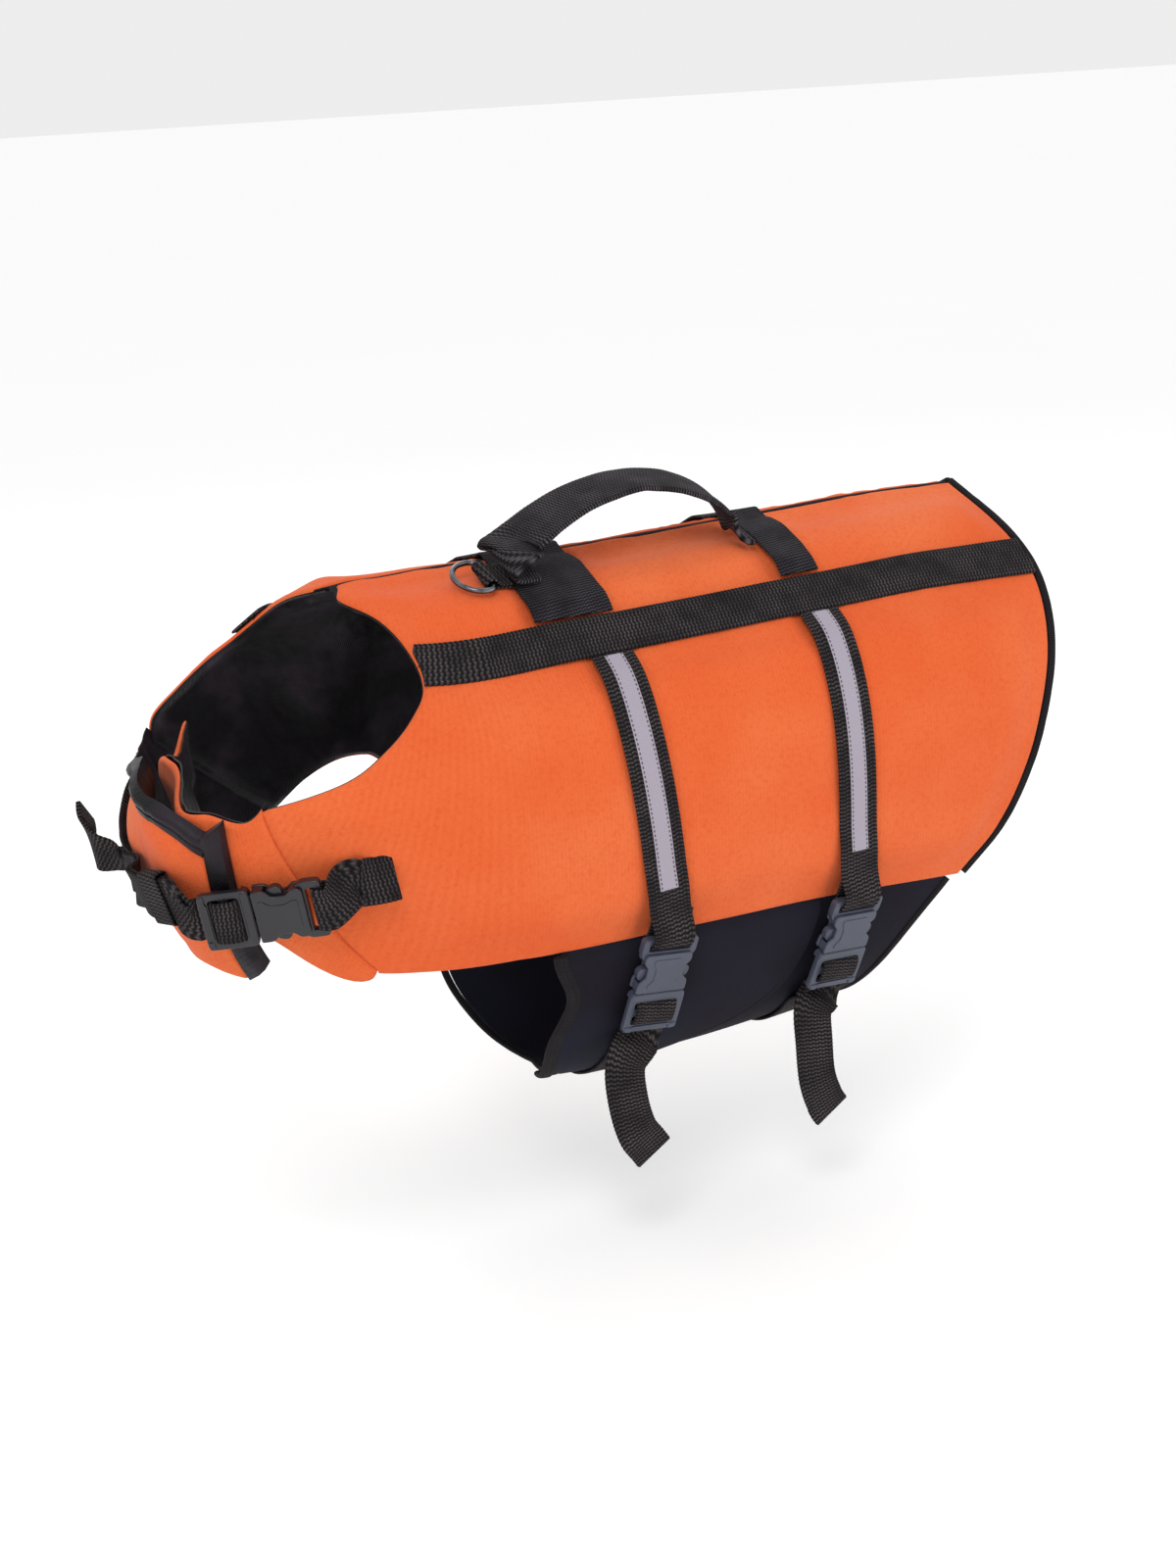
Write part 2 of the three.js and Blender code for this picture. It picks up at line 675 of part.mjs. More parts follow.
// The left flap laps over the right one, with a rounded rear corner.
const leftFlapRear = [
  { down: 200, x: 48 },
  { down: 257, x: 46 },
  { down: 302, x: 37 },
  { down: 322, x: 26 },
  { down: 338, x: 8 },
  { down: 347, x: -12 },
];
const leftFlapEnd = [
  { x: -120, down: 392 },
  { x: -90, down: 386 },
  { x: -50, down: 368 },
  { x: -12, down: 348 },
];
const leftFlapRearX = (down) => along(leftFlapRear, 'down', 'x', down);
const leftFlapEndDown = (x) => along(leftFlapEnd, 'x', 'down', x);
function bellyLeft() {
  const frontLow = { x: bellyFrontX(388), down: leftFlapEndDown(bellyFrontX(388)) };
  const rearLow = { x: leftFlapRearX(347), down: leftFlapEndDown(leftFlapRearX(347)) };
  const startX = (s) => mix(bellyFrontX(222), leftFlapRearX(222), s);
  const startDown = (x) => lowerDown(left, x) + panelGap;
  const sideAt = (edge, low, t) => {
    const down = mix(startDown(edge(222)), low, t);
    return { x: edge(down), down };
  };
  return patch(left, {
    top: (s) => ({ x: startX(s), down: startDown(startX(s)) }),
    bottom: (s) => {
      const x = mix(frontLow.x, rearLow.x, s);
      return { x, down: leftFlapEndDown(x) };
    },
    front: (t) => sideAt(bellyFrontX, frontLow.down, t),
    rear: (t) => sideAt(leftFlapRearX, rearLow.down, t),
  }, { inner: () => nearFlapInner, outer: () => nearFlapInner + bellyThick }, even(12), even(14));
}
add('belly_flap_left', bellyLeft(), 'belly');

// Bound edges of the belly flaps
function edgeBead(side, downs, edgeX, shifts, low, high) {
  const grid = (height) => downs.map((down) => (
    shifts.map((shift) => raised(side, edgeX(down) + shift, down, height))
  ));
  return wall(grid(low), grid(high));
}
const beadShifts = [-panelGap - 4.5, -panelGap];
const leftBeadDowns = even(14).map((t) => mix(lowerDown(left, -118) + 2, leftFlapEndDown(-96), t));
const rightBeadDowns = bellyRows.map((t) => mix(frontDowns.start, frontDowns.end, t)).slice(0, 15);
rightBeadDowns[0] += 4;
add('leg_binding_left',
  edgeBead(left, leftBeadDowns, bellyFrontX, beadShifts, nearFlapInner, nearFlapInner + 3.2), 'webbing');
add('leg_binding_right',
  edgeBead(right, rightBeadDowns, foldFrontX, beadShifts, -0.2, 2.4), 'webbing');
const rearBeadRows = bellyRows.map((t) => mix(rearDowns.start, rearDowns.end, t));
rearBeadRows[0] += 4;
rearBeadRows[rearBeadRows.length - 1] -= 4;
add('belly_binding',
  edgeBead(right, rearBeadRows, foldRearX, [panelGap, panelGap + bindWidth], 0, 3.6), 'webbing');

// How high the cloth stands over the figure, and the same for a strap that bridges its dips.
function clothHeight(side, x, down) {
  const girth = halfGirth(x);
  const past = down > girth;
  const ownDown = past ? 2 * girth - down : down;
  const ownSide = past ? -side : side;
  if (ownDown < stripHalf) return foamInner + foamEdge;
  if (ownDown < seamDepth) return foamInner + backFoam(ownSide, x, ownDown);
  if (ownDown > chestSeam.neckDown && x < seamX(ownSide, ownDown)) return foamInner + flapFull;
  if (ownDown < lowerDown(ownSide, x)) return foamInner + sideFoam(ownSide, x, ownDown);
  const underFlap = ownSide < 0 && x < leftFlapRearX(ownDown) + 14 && ownDown < leftFlapEndDown(x) + 4;
  return underFlap ? nearFlapInner + bellyThick : bellyThick + 0.2;
}
function bridged(side, x, down, reach) {
  let height = 0;
  for (let step = -4; step <= 4; step += 1) {
    const shift = reach * step / 4;
    for (const sideways of [-10, 0, 10]) {
      height = Math.max(height, clothHeight(side, x + sideways, Math.abs(down + shift)));
    }
  }
  return height + strapGap;
}

// A place for a ribbon that runs down a side.
function sidePlace(side, x, down, height) {
  const girth = halfGirth(x);
  const past = down > girth ? -side : side;
  const ownDown = down > girth ? 2 * girth - down : down;
  const ahead = figurePoint(past, x + 1, ownDown);
  const behind = figurePoint(past, x - 1, ownDown);
  const across = ahead.sub(behind).normalize().multiplyScalar(side < 0 ? 1 : -1);
  return { point: raised(side, x, down, height), across };
}

// Bands across the back, from one long webbing to the other
const bandReach = seamDepth - webWidth / 2 - 1;
function crossBand(xMiddle, width, lift) {
  const path = even(14).map((t) => {
    const down = mix(-bandReach, bandReach, t);
    const side = down < 0 ? left : right;
    const height = bridged(side, xMiddle, Math.abs(down), 9) + lift;
    const flat = raised(side, xMiddle, Math.abs(down), height);
    return { point: flat, across: vector(-1, 0, 0) };
  });
  return ribbon(path, width, webThick);
}
const frontBand = { x: -83, width: 48 };
const rearBand = { x: 62, width: webWidth };
add('front_band', crossBand(frontBand.x, frontBand.width, 0), 'webbing');
add('rear_band', crossBand(rearBand.x, rearBand.width, 0), 'webbing');

// The side-release buckle, in its own frame: y runs from the fixed strap to the adjusting one,
// z points out of the cloth.
const buckle = {
  halfWide: 17, bodyHalf: 15.5, waistHalf: 11.5, bodyStart: 9.5, notchStart: 16.5, notchEnd: 28,
  bodyEnd: 36, length: 64, bodyThick: 9, barLow: 2, barHigh: 7, slotHalf: 13,
};
function mirroredShape(rightHalf) {
  const shape = new THREE.Shape();
  rightHalf.forEach(([x, y], index) => (index ? shape.lineTo(x, y) : shape.moveTo(x, y)));
  [...rightHalf].reverse().forEach(([x, y]) => { if (x > 0) shape.lineTo(-x, y); });
  shape.closePath();
  return shape;
}
function slot(low, high) {
  const hole = new THREE.Path();
  hole.moveTo(-buckle.slotHalf, low);
  hole.lineTo(-buckle.slotHalf, high);
  hole.lineTo(buckle.slotHalf, high);
  hole.lineTo(buckle.slotHalf, low);
  hole.closePath();
  return hole;
}
function plate(rightHalf, slots, low, high) {
  const shape = mirroredShape(rightHalf);
  shape.holes.push(...slots);
  const geometry = new THREE.ExtrudeGeometry(shape, { depth: high - low, bevelEnabled: false });
  return solidOf(geometry.translate(0, 0, low));
}
function femaleHalf() {
  const { halfWide, bodyHalf, waistHalf, bodyStart, notchStart, notchEnd, bodyEnd } = buckle;
  const bar = plate([[14.5, 0], [halfWide, 2], [halfWide, 10], [14.5, 13]], [slot(3.6, 8.2)],
    buckle.barLow, buckle.barHigh);
  const body = plate([
    [13, bodyStart], [14.6, bodyStart + 1.5], [14.6, notchStart - 1.5], [waistHalf, notchStart + 2],
    [waistHalf, notchEnd - 3], [bodyHalf - 0.6, notchEnd], [bodyHalf, notchEnd + 4], [bodyHalf, bodyEnd],
  ], [], 0, buckle.bodyThick);
  const hollow = plate([
    [17.5, notchStart + 2.3], [17.5, notchEnd + 0.6], [13.2, notchEnd + 1.4], [13.2, bodyEnd + 2],
  ], [], 1.9, 7.1);
  return body.add(bar).subtract(hollow);
}
function maleHalf() {
  const prongs = plate([
    [2.5, 23], [2.5, 34], [6.5, 34], [7, 25], [9, 20], [15.6, 20.4], [16, 26], [12, 28.4], [12.3, 36.4],
    [16, 37.6], [buckle.halfWide, 41],
  ], [], 2.3, 6.7);
  const frame = plate([
    [14, 38.6], [buckle.halfWide, 41], [buckle.halfWide, 62], [15, buckle.length],
  ], [slot(43, 48), slot(52.6, 58.6)], 4.6, 8.4);
  return prongs.add(frame);
}
const femaleSolid = femaleHalf();
const maleSolid = maleHalf();
function buckleFrame(start, end, out) {
  const y = end.clone().sub(start).normalize();
  const z = out.clone().sub(y.clone().multiplyScalar(out.dot(y))).normalize();
  const x = y.clone().cross(z);
  const matrix = new THREE.Matrix4().makeBasis(x, y, z).setPosition(start);
  return { origin: start.clone(), x, y, z, matrix };
}
function inFrame(frame, y, z) {
  return frame.origin.clone().add(frame.y.clone().multiplyScalar(y)).add(frame.z.clone().multiplyScalar(z));
}
function addBuckle(name, frame, finish) {
  for (const [half, solid] of [['socket', femaleSolid], ['prongs', maleSolid]]) {
    const mesh = add(`${name}_${half}`, geometryOf(solid), finish);
    mesh.applyMatrix4(frame.matrix);
  }
}
// The strap that is sewn round the socket's bar, and the one that threads the ladder bars.
const socketLoop = [[-3, 7.7], [3.1, 7.7], [4.1, 6.9], [4.1, 1.9], [2.4, 0.8], [-3, 0.8], [-15, 0.6]];
const ladderLoop = [
  [72, 0.2], [60, 0.2], [50, 0.2], [45.5, 0.2], [43.4, 2], [43.3, 8.9], [45, 10.6], [56, 10.6], [57.9, 9.2],
  [57.9, 5], [58.9, 4], [64, 3.95], [70, 3.9],
];

// Girth straps with their buckles, and the free tails
const girths = [
  {
    name: 'front', topX: -72, lowX: -59, endX: -66,
    tail: [[-9, 4, 6], [-15, 6, 15], [-15, 8, 37], [-10, 8, 56], [-3, 6, 66], [1, 5, 72]],
  },
  {
    name: 'rear', topX: 60, lowX: 62, endX: 55,
    tail: [[-7, 3, 4], [-11, 5, 10], [-12, 7, 27], [-11, 8, 52], [-4, 6, 70], [0, 5, 76]],
  },
];
const strapTop = seamDepth + webWidth / 2 + 0.8;
for (const girth of girths) {
  const lowDown = lowerDown(left, girth.lowX);
  const xAt = (down) => mix(girth.topX, girth.lowX, smooth((down - strapTop) / (lowDown - strapTop) * 0.98));
  const startDown = lowDown - 4;
  const endDown = startDown + buckle.length;
  const { endX } = girth;
  const frame = buckleFrame(
    raised(left, girth.lowX, startDown, bridged(left, girth.lowX, startDown, 14) + 1.6),
    raised(left, endX, endDown, bridged(left, endX, endDown, 14) + 3.4),
    figureNormal(left, girth.lowX, startDown + 32),
  );
  addBuckle(`girth_buckle_${girth.name}`, frame, 'greyBuckle');
  const across = frame.x.clone().negate();
  const nearDowns = even(11).map((t) => mix(strapTop, startDown - 14, t));
  const nearLevel = (down) => bridged(left, xAt(down), down, 9) + 3 * smooth((down - startDown + 40) / 30);
  const nearPath = nearDowns.map((down) => sidePlace(left, xAt(down), down, nearLevel(down)));
  socketLoop.forEach(([y, z]) => nearPath.push({ point: inFrame(frame, y, z), across }));
  add(`girth_strap_left_${girth.name}`, ribbon(nearPath, webWidth, webThick), 'webbing');

  const turn = halfGirth(girth.lowX);
  const roundEnd = 2 * turn - endDown - 20;
  const farDowns = even(26).map((t) => mix(strapTop, roundEnd, t));
  const farLevel = (down) => bridged(right, xAt(down), down, 12);
  const farPath = farDowns.map((down) => {
    const x = down < lowDown ? xAt(down) : mix(girth.lowX, endX, smooth((down - lowDown) / 200));
    return sidePlace(right, x, down, down < lowDown ? farLevel(down) : bridged(right, x, down, 12));
  });
  ladderLoop.forEach(([y, z]) => farPath.push({ point: inFrame(frame, y, z), across: frame.x }));
  const exit = inFrame(frame, 70, 3.9);
  girth.tail.forEach(([back, out, fall]) => {
    farPath.push({ point: exit.clone().add(vector(back, -out, -fall)), across: vector(-0.96, 0, -0.28) });
  });
  add(`girth_strap_right_${girth.name}`, ribbon(farPath, webWidth, webThick), 'webbing');

  for (const side of [left, right]) {
    const downs = side < 0 ? nearDowns : farDowns;
    const level = side < 0 ? nearLevel : farLevel;
    const path = downs.filter((down) => down < lowDown - 24).map((down, index) => {
      const start = index ? down : down + 1;
      return sidePlace(side, xAt(start), start, level(start) + webThick + clearance + 0.15);
    });
    add(`reflective_${sideName(side)}_${girth.name}`, ribbon(path, 11, 0.6), 'reflective');
  }
}

// The chest strap: a short end sewn to the left side, the buckle, and the adjusting strap that runs
// round the front over the right flap, with its tail back through a keeper.
const chest = {
  sewn: { x: -170, q: -164 }, socket: { x: -182, q: -127 }, ladder: { x: -198, q: -64 },
  farEnd: { x: -190, q: -150 }, keeper: [28, 54], overFlap: 21.6,
};
const chestPoint = (side, x, q, height) => raised(side, x, halfGirth(x) + q, height);
function settledFrame(start, end, out) {
  const frame = buckleFrame(start, end, out);
  let rise = 0;
  for (let q = chest.socket.q - 6; q <= chest.ladder.q + 4; q += 4) {
    for (const shift of [-17, -8, 0, 8, 17]) {
      const x = mix(chest.socket.x, chest.ladder.x, (q - chest.socket.q) / 64) + shift;
      const covered = q > -76 && x < -182 && x > -214;
      const level = foamInner + flapFull + (covered ? overLift + underGap : 0);
      const local = chestPoint(left, x, q, level).sub(frame.origin);
      const y = local.dot(frame.y);
      const base = y < 9 ? buckle.barLow : y > 38 ? 4.6 : 0;
      if (y > -1 && y < 65) rise = Math.max(rise, local.dot(frame.z) - base);
    }
  }
  const lift = frame.z.clone().multiplyScalar(rise + strapGap);
  return buckleFrame(start.add(lift), end.add(lift), out);
}
const chestFrame = settledFrame(
  chestPoint(left, chest.socket.x, chest.socket.q, 9),
  chestPoint(left, chest.ladder.x, chest.ladder.q, 12),
  figureNormal(left, -186, halfGirth(-186) - 95),
);
addBuckle('chest_buckle', chestFrame, 'darkBuckle');
const chestAcross = chestFrame.x.clone().negate();
function chestPlace(side, x, q, height) {
  const place = sidePlace(side, x, halfGirth(x) + q, height);
  return place;
}
const fixedPath = even(4).map((t) => {
  const q = mix(chest.sewn.q, chest.socket.q - 15, t);
  const x = mix(chest.sewn.x, chest.socket.x + 3, t);
  const level = bridged(left, x, halfGirth(x) + q, 8) + 1.8 + 1.6 * smooth((t - 0.5) / 0.5);
  return chestPlace(left, x, q, level);
});
socketLoop.slice(0, -1).forEach(([y, z]) => {
  fixedPath.push({ point: inFrame(chestFrame, y, z), across: chestAcross });
});
add('chest_strap_fixed', ribbon(fixedPath, webWidth, webThick), 'webbing');

const strapX = (q) => mix(-199, -203, smooth((q + 60) / 80));
const strapPlace = (q, lift) => {
  const x = mix(chest.farEnd.x, strapX(q), smooth((q - chest.farEnd.q) / 60));
  const level = mix(foamInner + foamFull + 1.4, chest.overFlap, smooth((q + 20) / 46));
  return chestPlace(right, x, q, level + lift);
};
const keeperEnds = chest.keeper.map((q) => strapPlace(q, 0));
const keeperMiddle = (chest.keeper[0] + chest.keeper[1]) / 2;
const keeperFrame = buckleFrame(keeperEnds[0].point, keeperEnds[1].point,
  figureNormal(left, strapX(keeperMiddle), halfGirth(strapX(keeperMiddle)) - keeperMiddle));
const keeperSpan = keeperEnds[0].point.distanceTo(keeperEnds[1].point);
const keeperLong = 20;
const keeperAcross = keeperFrame.x.clone()
  .multiplyScalar(Math.sign(keeperFrame.x.dot(keeperEnds[0].across)));
const keeperRun = (lift) => [0, keeperSpan / 2 - 11, keeperSpan / 2 + 11, keeperSpan]
  .map((y) => ({ point: inFrame(keeperFrame, y, lift), across: keeperAcross }));
const strapRows = [chest.farEnd.q, -135, -120, -105, -90, -75, -60, -45, -30, -15, 0, 14];
const adjustingPath = [...strapRows.map((q) => strapPlace(q, 0)), ...keeperRun(0)];
ladderLoop.forEach(([y, z]) => {
  adjustingPath.push({ point: inFrame(chestFrame, y, z), across: chestFrame.x });
});
const tailGap = 0.5;
const tailLift = 2 * webThick + tailGap;
adjustingPath.push(...keeperRun(tailLift).reverse());
strapRows.filter((q) => q > -50).reverse().forEach((q) => adjustingPath.push(strapPlace(q, tailLift)));
const tailFree = [[-11, 8, 6], [-14, 19, 14], [-12, 30, 25]];
const tailRoot = adjustingPath[adjustingPath.length - 1].point.clone();
tailFree.forEach(([ahead, far, up]) => {
  const point = tailRoot.clone().add(vector(ahead, far, up));
  adjustingPath.push({ point, across: vector(-0.25, 0, 0.96) });
});
add('chest_strap_adjusting', ribbon(adjustingPath, webWidth, webThick), 'webbing');

function keeperLoop() {
  const shape = new THREE.Shape();
  const outline = (path, halfWide, low, high) => {
    path.moveTo(-halfWide, low);
    path.lineTo(halfWide, low);
    path.lineTo(halfWide, high);
    path.lineTo(-halfWide, high);
    path.closePath();
  };
  outline(shape, 15.6, -2.6, 6.2);
  const inside = new THREE.Path();
  outline(inside, 14.4, -1.5, 5);
  shape.holes.push(inside);
  const geometry = new THREE.ExtrudeGeometry(shape, { depth: keeperLong, bevelEnabled: false });
  geometry.translate(0, 0, -keeperLong / 2);
  geometry.applyMatrix4(new THREE.Matrix4()
    .makeBasis(keeperFrame.x, keeperFrame.z, keeperFrame.y.clone().negate())
    .setPosition(inFrame(keeperFrame, keeperSpan / 2, 0)));
  return geometry;
}
add('keeper', keeperLoop(), 'webbing');

// The lead ring in its sewn tab, lying forward on the back beside the spine
const ring = { x: -121, down: 33, bar: 4, wire: 1.6, tabWide: 20, tabThick: 1.2 };
const ringLevel = bridged(left, ring.x, ring.down, 14) + ring.bar - 0.4;
const ringFrame = buckleFrame(
  raised(left, ring.x, ring.down, ringLevel),
  raised(left, ring.x - 10, ring.down, ringLevel),
  figureNormal(left, ring.x, ring.down),
);
const ringSideways = ringFrame.x;
const ringPlace = (sideways, ahead, up) => (
  inFrame(ringFrame, ahead, up).addScaledVector(ringSideways, sideways)
);
const ringOutline = [
  [0, 0], [5, 0], [10, 0], [12.6, 0.6], [14, 3], [14, 7], [12.4, 11.4], [9, 15], [4.8, 17.2],
];
const ringPoints = [
  ...ringOutline, [0, 18], ...ringOutline.slice(1).reverse().map(([sideways, ahead]) => [-sideways, ahead]),
].map(([sideways, ahead]) => ringPlace(sideways, ahead, 0));
add('d_ring', wireRing(ringPoints, ring.wire, 8), 'chrome');
const tabLoop = [
  [-13, -2.4], [-7, -2.3], [-3.4, -2.3], [-0.8, -2.35], [1.2, -2.1], [2.3, -0.8], [2.3, 0.8], [1.2, 2.1],
  [-0.8, 2.3], [-2.6, 1.5], [-4.6, -0.9], [-7, -1.85], [-13, -1.9],
];
const tabAcross = ringSideways.clone().multiplyScalar(Math.sign(ringSideways.y));
const tabPath = tabLoop.map(([ahead, up]) => ({ point: ringPlace(0, ahead, up), across: tabAcross }));
add('d_ring_tab', ribbon(tabPath, ring.tabWide, ring.tabThick), 'webbing');

// The handle rises from in front of the front band and comes down before the rear band.
const handle = { wide: 38, thick: 3.2, down: 28 };
const handleLevel = bridged(left, frontBand.x, handle.down, handle.wide / 2) + webThick + 0.6 + handle.thick;
const footFront = (x, height) => raised(left, x, handle.down, handleLevel + height);
const footRear = (x, height) => (
  raised(left, x, handle.down, bridged(left, x, handle.down, handle.wide / 2) + height)
);
const handleArc = [
  { x: -96, y: -27, z: 14.5 }, { x: -87, y: -26.5, z: 19.5 }, { x: -76, y: -26, z: 25.5 },
  { x: -55, y: -26, z: 34 }, { x: -23, y: -26, z: 39 }, { x: 8, y: -26, z: 33.5 },
  { x: 27, y: -26, z: 23.5 }, { x: 36, y: -26.5, z: 13.5 },
];
const backSlope = raised(left, 0, 20, 0).sub(raised(left, 0, 36, 0)).normalize();
const gripAcross = vector(0, 0.99, 0.12);
const handlePath = [
  [-93, 0], [-103, 0.1], [-106, 1.2], [-107, 3.2], [-105.4, 5],
].map(([x, height]) => ({ point: footFront(x, height), across: backSlope }));
handleArc.forEach(({ x, y, z }) => {
  const upright = 1 - Math.abs(x + 30) / 90;
  const across = backSlope.clone().lerp(gripAcross, Math.max(upright, 0));
  handlePath.push({ point: vector(x, y, z), across });
});
handlePath.push({ point: footRear(40.5, 1.4), across: backSlope });
handlePath.push({ point: footRear(44, 0.3), across: backSlope });
add('handle', ribbon(handlePath, handle.wide, handle.thick), 'webbing');

export default group;
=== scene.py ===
import math

import bpy
import numpy as np
from mathutils import Matrix, Vector


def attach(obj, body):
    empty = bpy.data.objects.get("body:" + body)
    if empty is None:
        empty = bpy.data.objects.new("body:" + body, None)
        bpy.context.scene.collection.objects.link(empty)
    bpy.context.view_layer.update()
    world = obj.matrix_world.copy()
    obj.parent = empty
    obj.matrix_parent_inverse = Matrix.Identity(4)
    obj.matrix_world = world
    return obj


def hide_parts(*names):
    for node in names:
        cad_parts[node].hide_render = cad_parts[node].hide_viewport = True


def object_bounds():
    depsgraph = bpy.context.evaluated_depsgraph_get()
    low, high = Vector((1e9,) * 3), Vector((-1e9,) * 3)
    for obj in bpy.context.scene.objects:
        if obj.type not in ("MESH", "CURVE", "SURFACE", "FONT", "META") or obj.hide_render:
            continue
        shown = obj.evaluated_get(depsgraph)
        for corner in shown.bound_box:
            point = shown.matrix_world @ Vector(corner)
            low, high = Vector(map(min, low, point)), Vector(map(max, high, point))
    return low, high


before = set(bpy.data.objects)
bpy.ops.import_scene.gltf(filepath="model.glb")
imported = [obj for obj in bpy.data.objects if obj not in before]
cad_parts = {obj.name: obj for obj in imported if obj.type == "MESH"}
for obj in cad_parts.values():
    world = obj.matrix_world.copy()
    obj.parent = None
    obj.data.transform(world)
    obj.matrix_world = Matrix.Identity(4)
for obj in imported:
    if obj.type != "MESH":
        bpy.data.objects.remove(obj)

# Shapes are worked out in millimetres and go into Blender in metres.
# A place on the jacket is a side (-1 left, 1 right), x along the spine and the way down from it.
cadLow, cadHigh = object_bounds()
left, right = -1.0, 1.0
bothSides = ((left, "left"), (right, "right"))
millimetre = 0.001


# Small helpers
def smooth(value):
    value = np.clip(value, 0, 1)
    return value * value * (3 - 2 * value)


def mix(start, end, share):
    return start + (end - start) * share


def even(count, low=0.0, high=1.0):
    return np.linspace(low, high, count + 1)


def unit(vectors):
    vectors = np.asarray(vectors, float)
    return vectors / np.maximum(np.linalg.norm(vectors, axis=-1, keepdims=True), 1e-9)


def along(table, column, value):  # a smooth curve through one column of a table
    table = np.asarray(table, float)
    keys, values = table[:, 0], table[:, column]
    value = np.asarray(value, float)
    row = np.searchsorted(keys[1:-1], value, side="left")
    rows = np.arange(len(keys))
    before, after = np.maximum(rows - 1, 0), np.minimum(rows + 1, len(keys) - 1)
    slopes = (values[after] - values[before]) / (keys[after] - keys[before])
    span = keys[row + 1] - keys[row]
    share = np.clip((value - keys[row]) / span, 0, 1)
    rise = values[row + 1] - values[row]
    bend = share * (1 - share)
    return (values[row] + rise * share + (slopes[row] * span - rise) * bend * (1 - share)
            - (slopes[row + 1] * span - rise) * bend * share)


def wander(value, seed, wave):  # smooth unevenness along a line, from -1 to 1
    knots = np.random.RandomState(seed).uniform(-1, 1, 512)
    place = np.asarray(value, float) / wave + 200.0
    first = np.floor(place).astype(int)
    share = smooth(place - first)
    return mix(knots[first % 512], knots[(first + 1) % 512], share)


def ripple(a, b, seed, wave):  # the same over a surface
    knots = np.random.RandomState(seed).uniform(-1, 1, (128, 128))
    a, b = np.asarray(a, float) / wave + 50.0, np.asarray(b, float) / wave + 50.0
    i, j = np.floor(a).astype(int), np.floor(b).astype(int)
    s, t = smooth(a - i), smooth(b - j)
    low = mix(knots[i % 128, j % 128], knots[(i + 1) % 128, j % 128], s)
    high = mix(knots[i % 128, (j + 1) % 128], knots[(i + 1) % 128, (j + 1) % 128], s)
    return mix(low, high, t)


def trough(value, middle, width):  # a soft dip or ridge, 1 at its middle
    return np.exp(-((np.asarray(value, float) - middle) / width) ** 2)


# The figure that the jacket is filled out by
figure = {
    # where the section meets the spine, rise, depth, half width, widest at, slope, fullness
    "sections": [
        (-240, -4, 108, 76, 62, 17, .80), (-223, -3, 129, 81, 70, 17, .80), (-205, -2, 163, 87, 80, 17, .76),
        (-185, 0, 216, 94, 92, 18, .70), (-168, 0, 254, 97, 106, 20, .66), (-142, 1, 290, 100, 118, 23, .64),
        (-109, 1, 298, 104, 122, 24, .62), (-65, 1, 302, 107, 122, 24, .60), (0, 2, 303, 110, 124, 24, .60),
        (76, 4, 300, 110, 123, 24, .60), (142, 6, 296, 108, 122, 24, .60), (223, 5, 287, 104, 119, 24, .60)],
    "fanX": -142, "fanZ": 82, "samples": 129,
}
sectionX = np.arange(-252.0, 230.0, 1.0)


def sectionCurves():
    column = lambda index: along(figure["sections"], index, sectionX)[:, None]
    depth, half, widest, full = column(2), column(3), column(4), column(6)
    slope = np.radians(column(5))
    low = depth - widest
    step = np.linspace(0, 1, 241)[None, :]
    weights = [(1 - step) ** 3, 3 * step * (1 - step) ** 2, 3 * step ** 2 * (1 - step), step ** 3]
    corners = [
        [(0 * half, 0 * half), (0.5 * half * np.cos(slope), 0.5 * half * np.sin(slope)),
         (half, widest * 0.26), (half, widest)],
        [(half, widest), (half, widest + low * full), (half * full, depth), (0 * half, depth)]]
    curves, lengths = [], []
    shares = np.linspace(0, 1, figure["samples"])
    for four in corners:
        wide = sum(weight * corner[0] for weight, corner in zip(weights, four))
        deep = sum(weight * corner[1] for weight, corner in zip(weights, four))
        run = np.hypot(np.diff(wide, axis=1), np.diff(deep, axis=1))
        gone = np.concatenate([np.zeros((len(sectionX), 1)), np.cumsum(run, axis=1)], axis=1)
        lengths.append(gone[:, -1])
        rows = [(np.interp(shares * g[-1], g, w), np.interp(shares * g[-1], g, d))
                for g, w, d in zip(gone, wide, deep)]
        curves.append(np.array(rows).transpose(0, 2, 1))
    return np.stack(curves, axis=1), np.stack(lengths, axis=1)


sectionLines, sectionLengths = sectionCurves()
sectionRise = along(figure["sections"], 1, sectionX)
sectionLean = np.where(sectionX < figure["fanX"], np.arctan((figure["fanX"] - sectionX) / figure["fanZ"]), 0)
sectionGirth = sectionLengths.sum(axis=1)


def halfGirth(x):
    return np.interp(x, sectionX, sectionGirth)


def folded(side, down, girth):  # past the middle of the belly or the spine a place is on the other side
    over = down > girth
    side, down = np.where(over, -side, side), np.where(over, 2 * girth - down, down)
    under = down < 0
    return np.where(under, -side, side), np.abs(down)


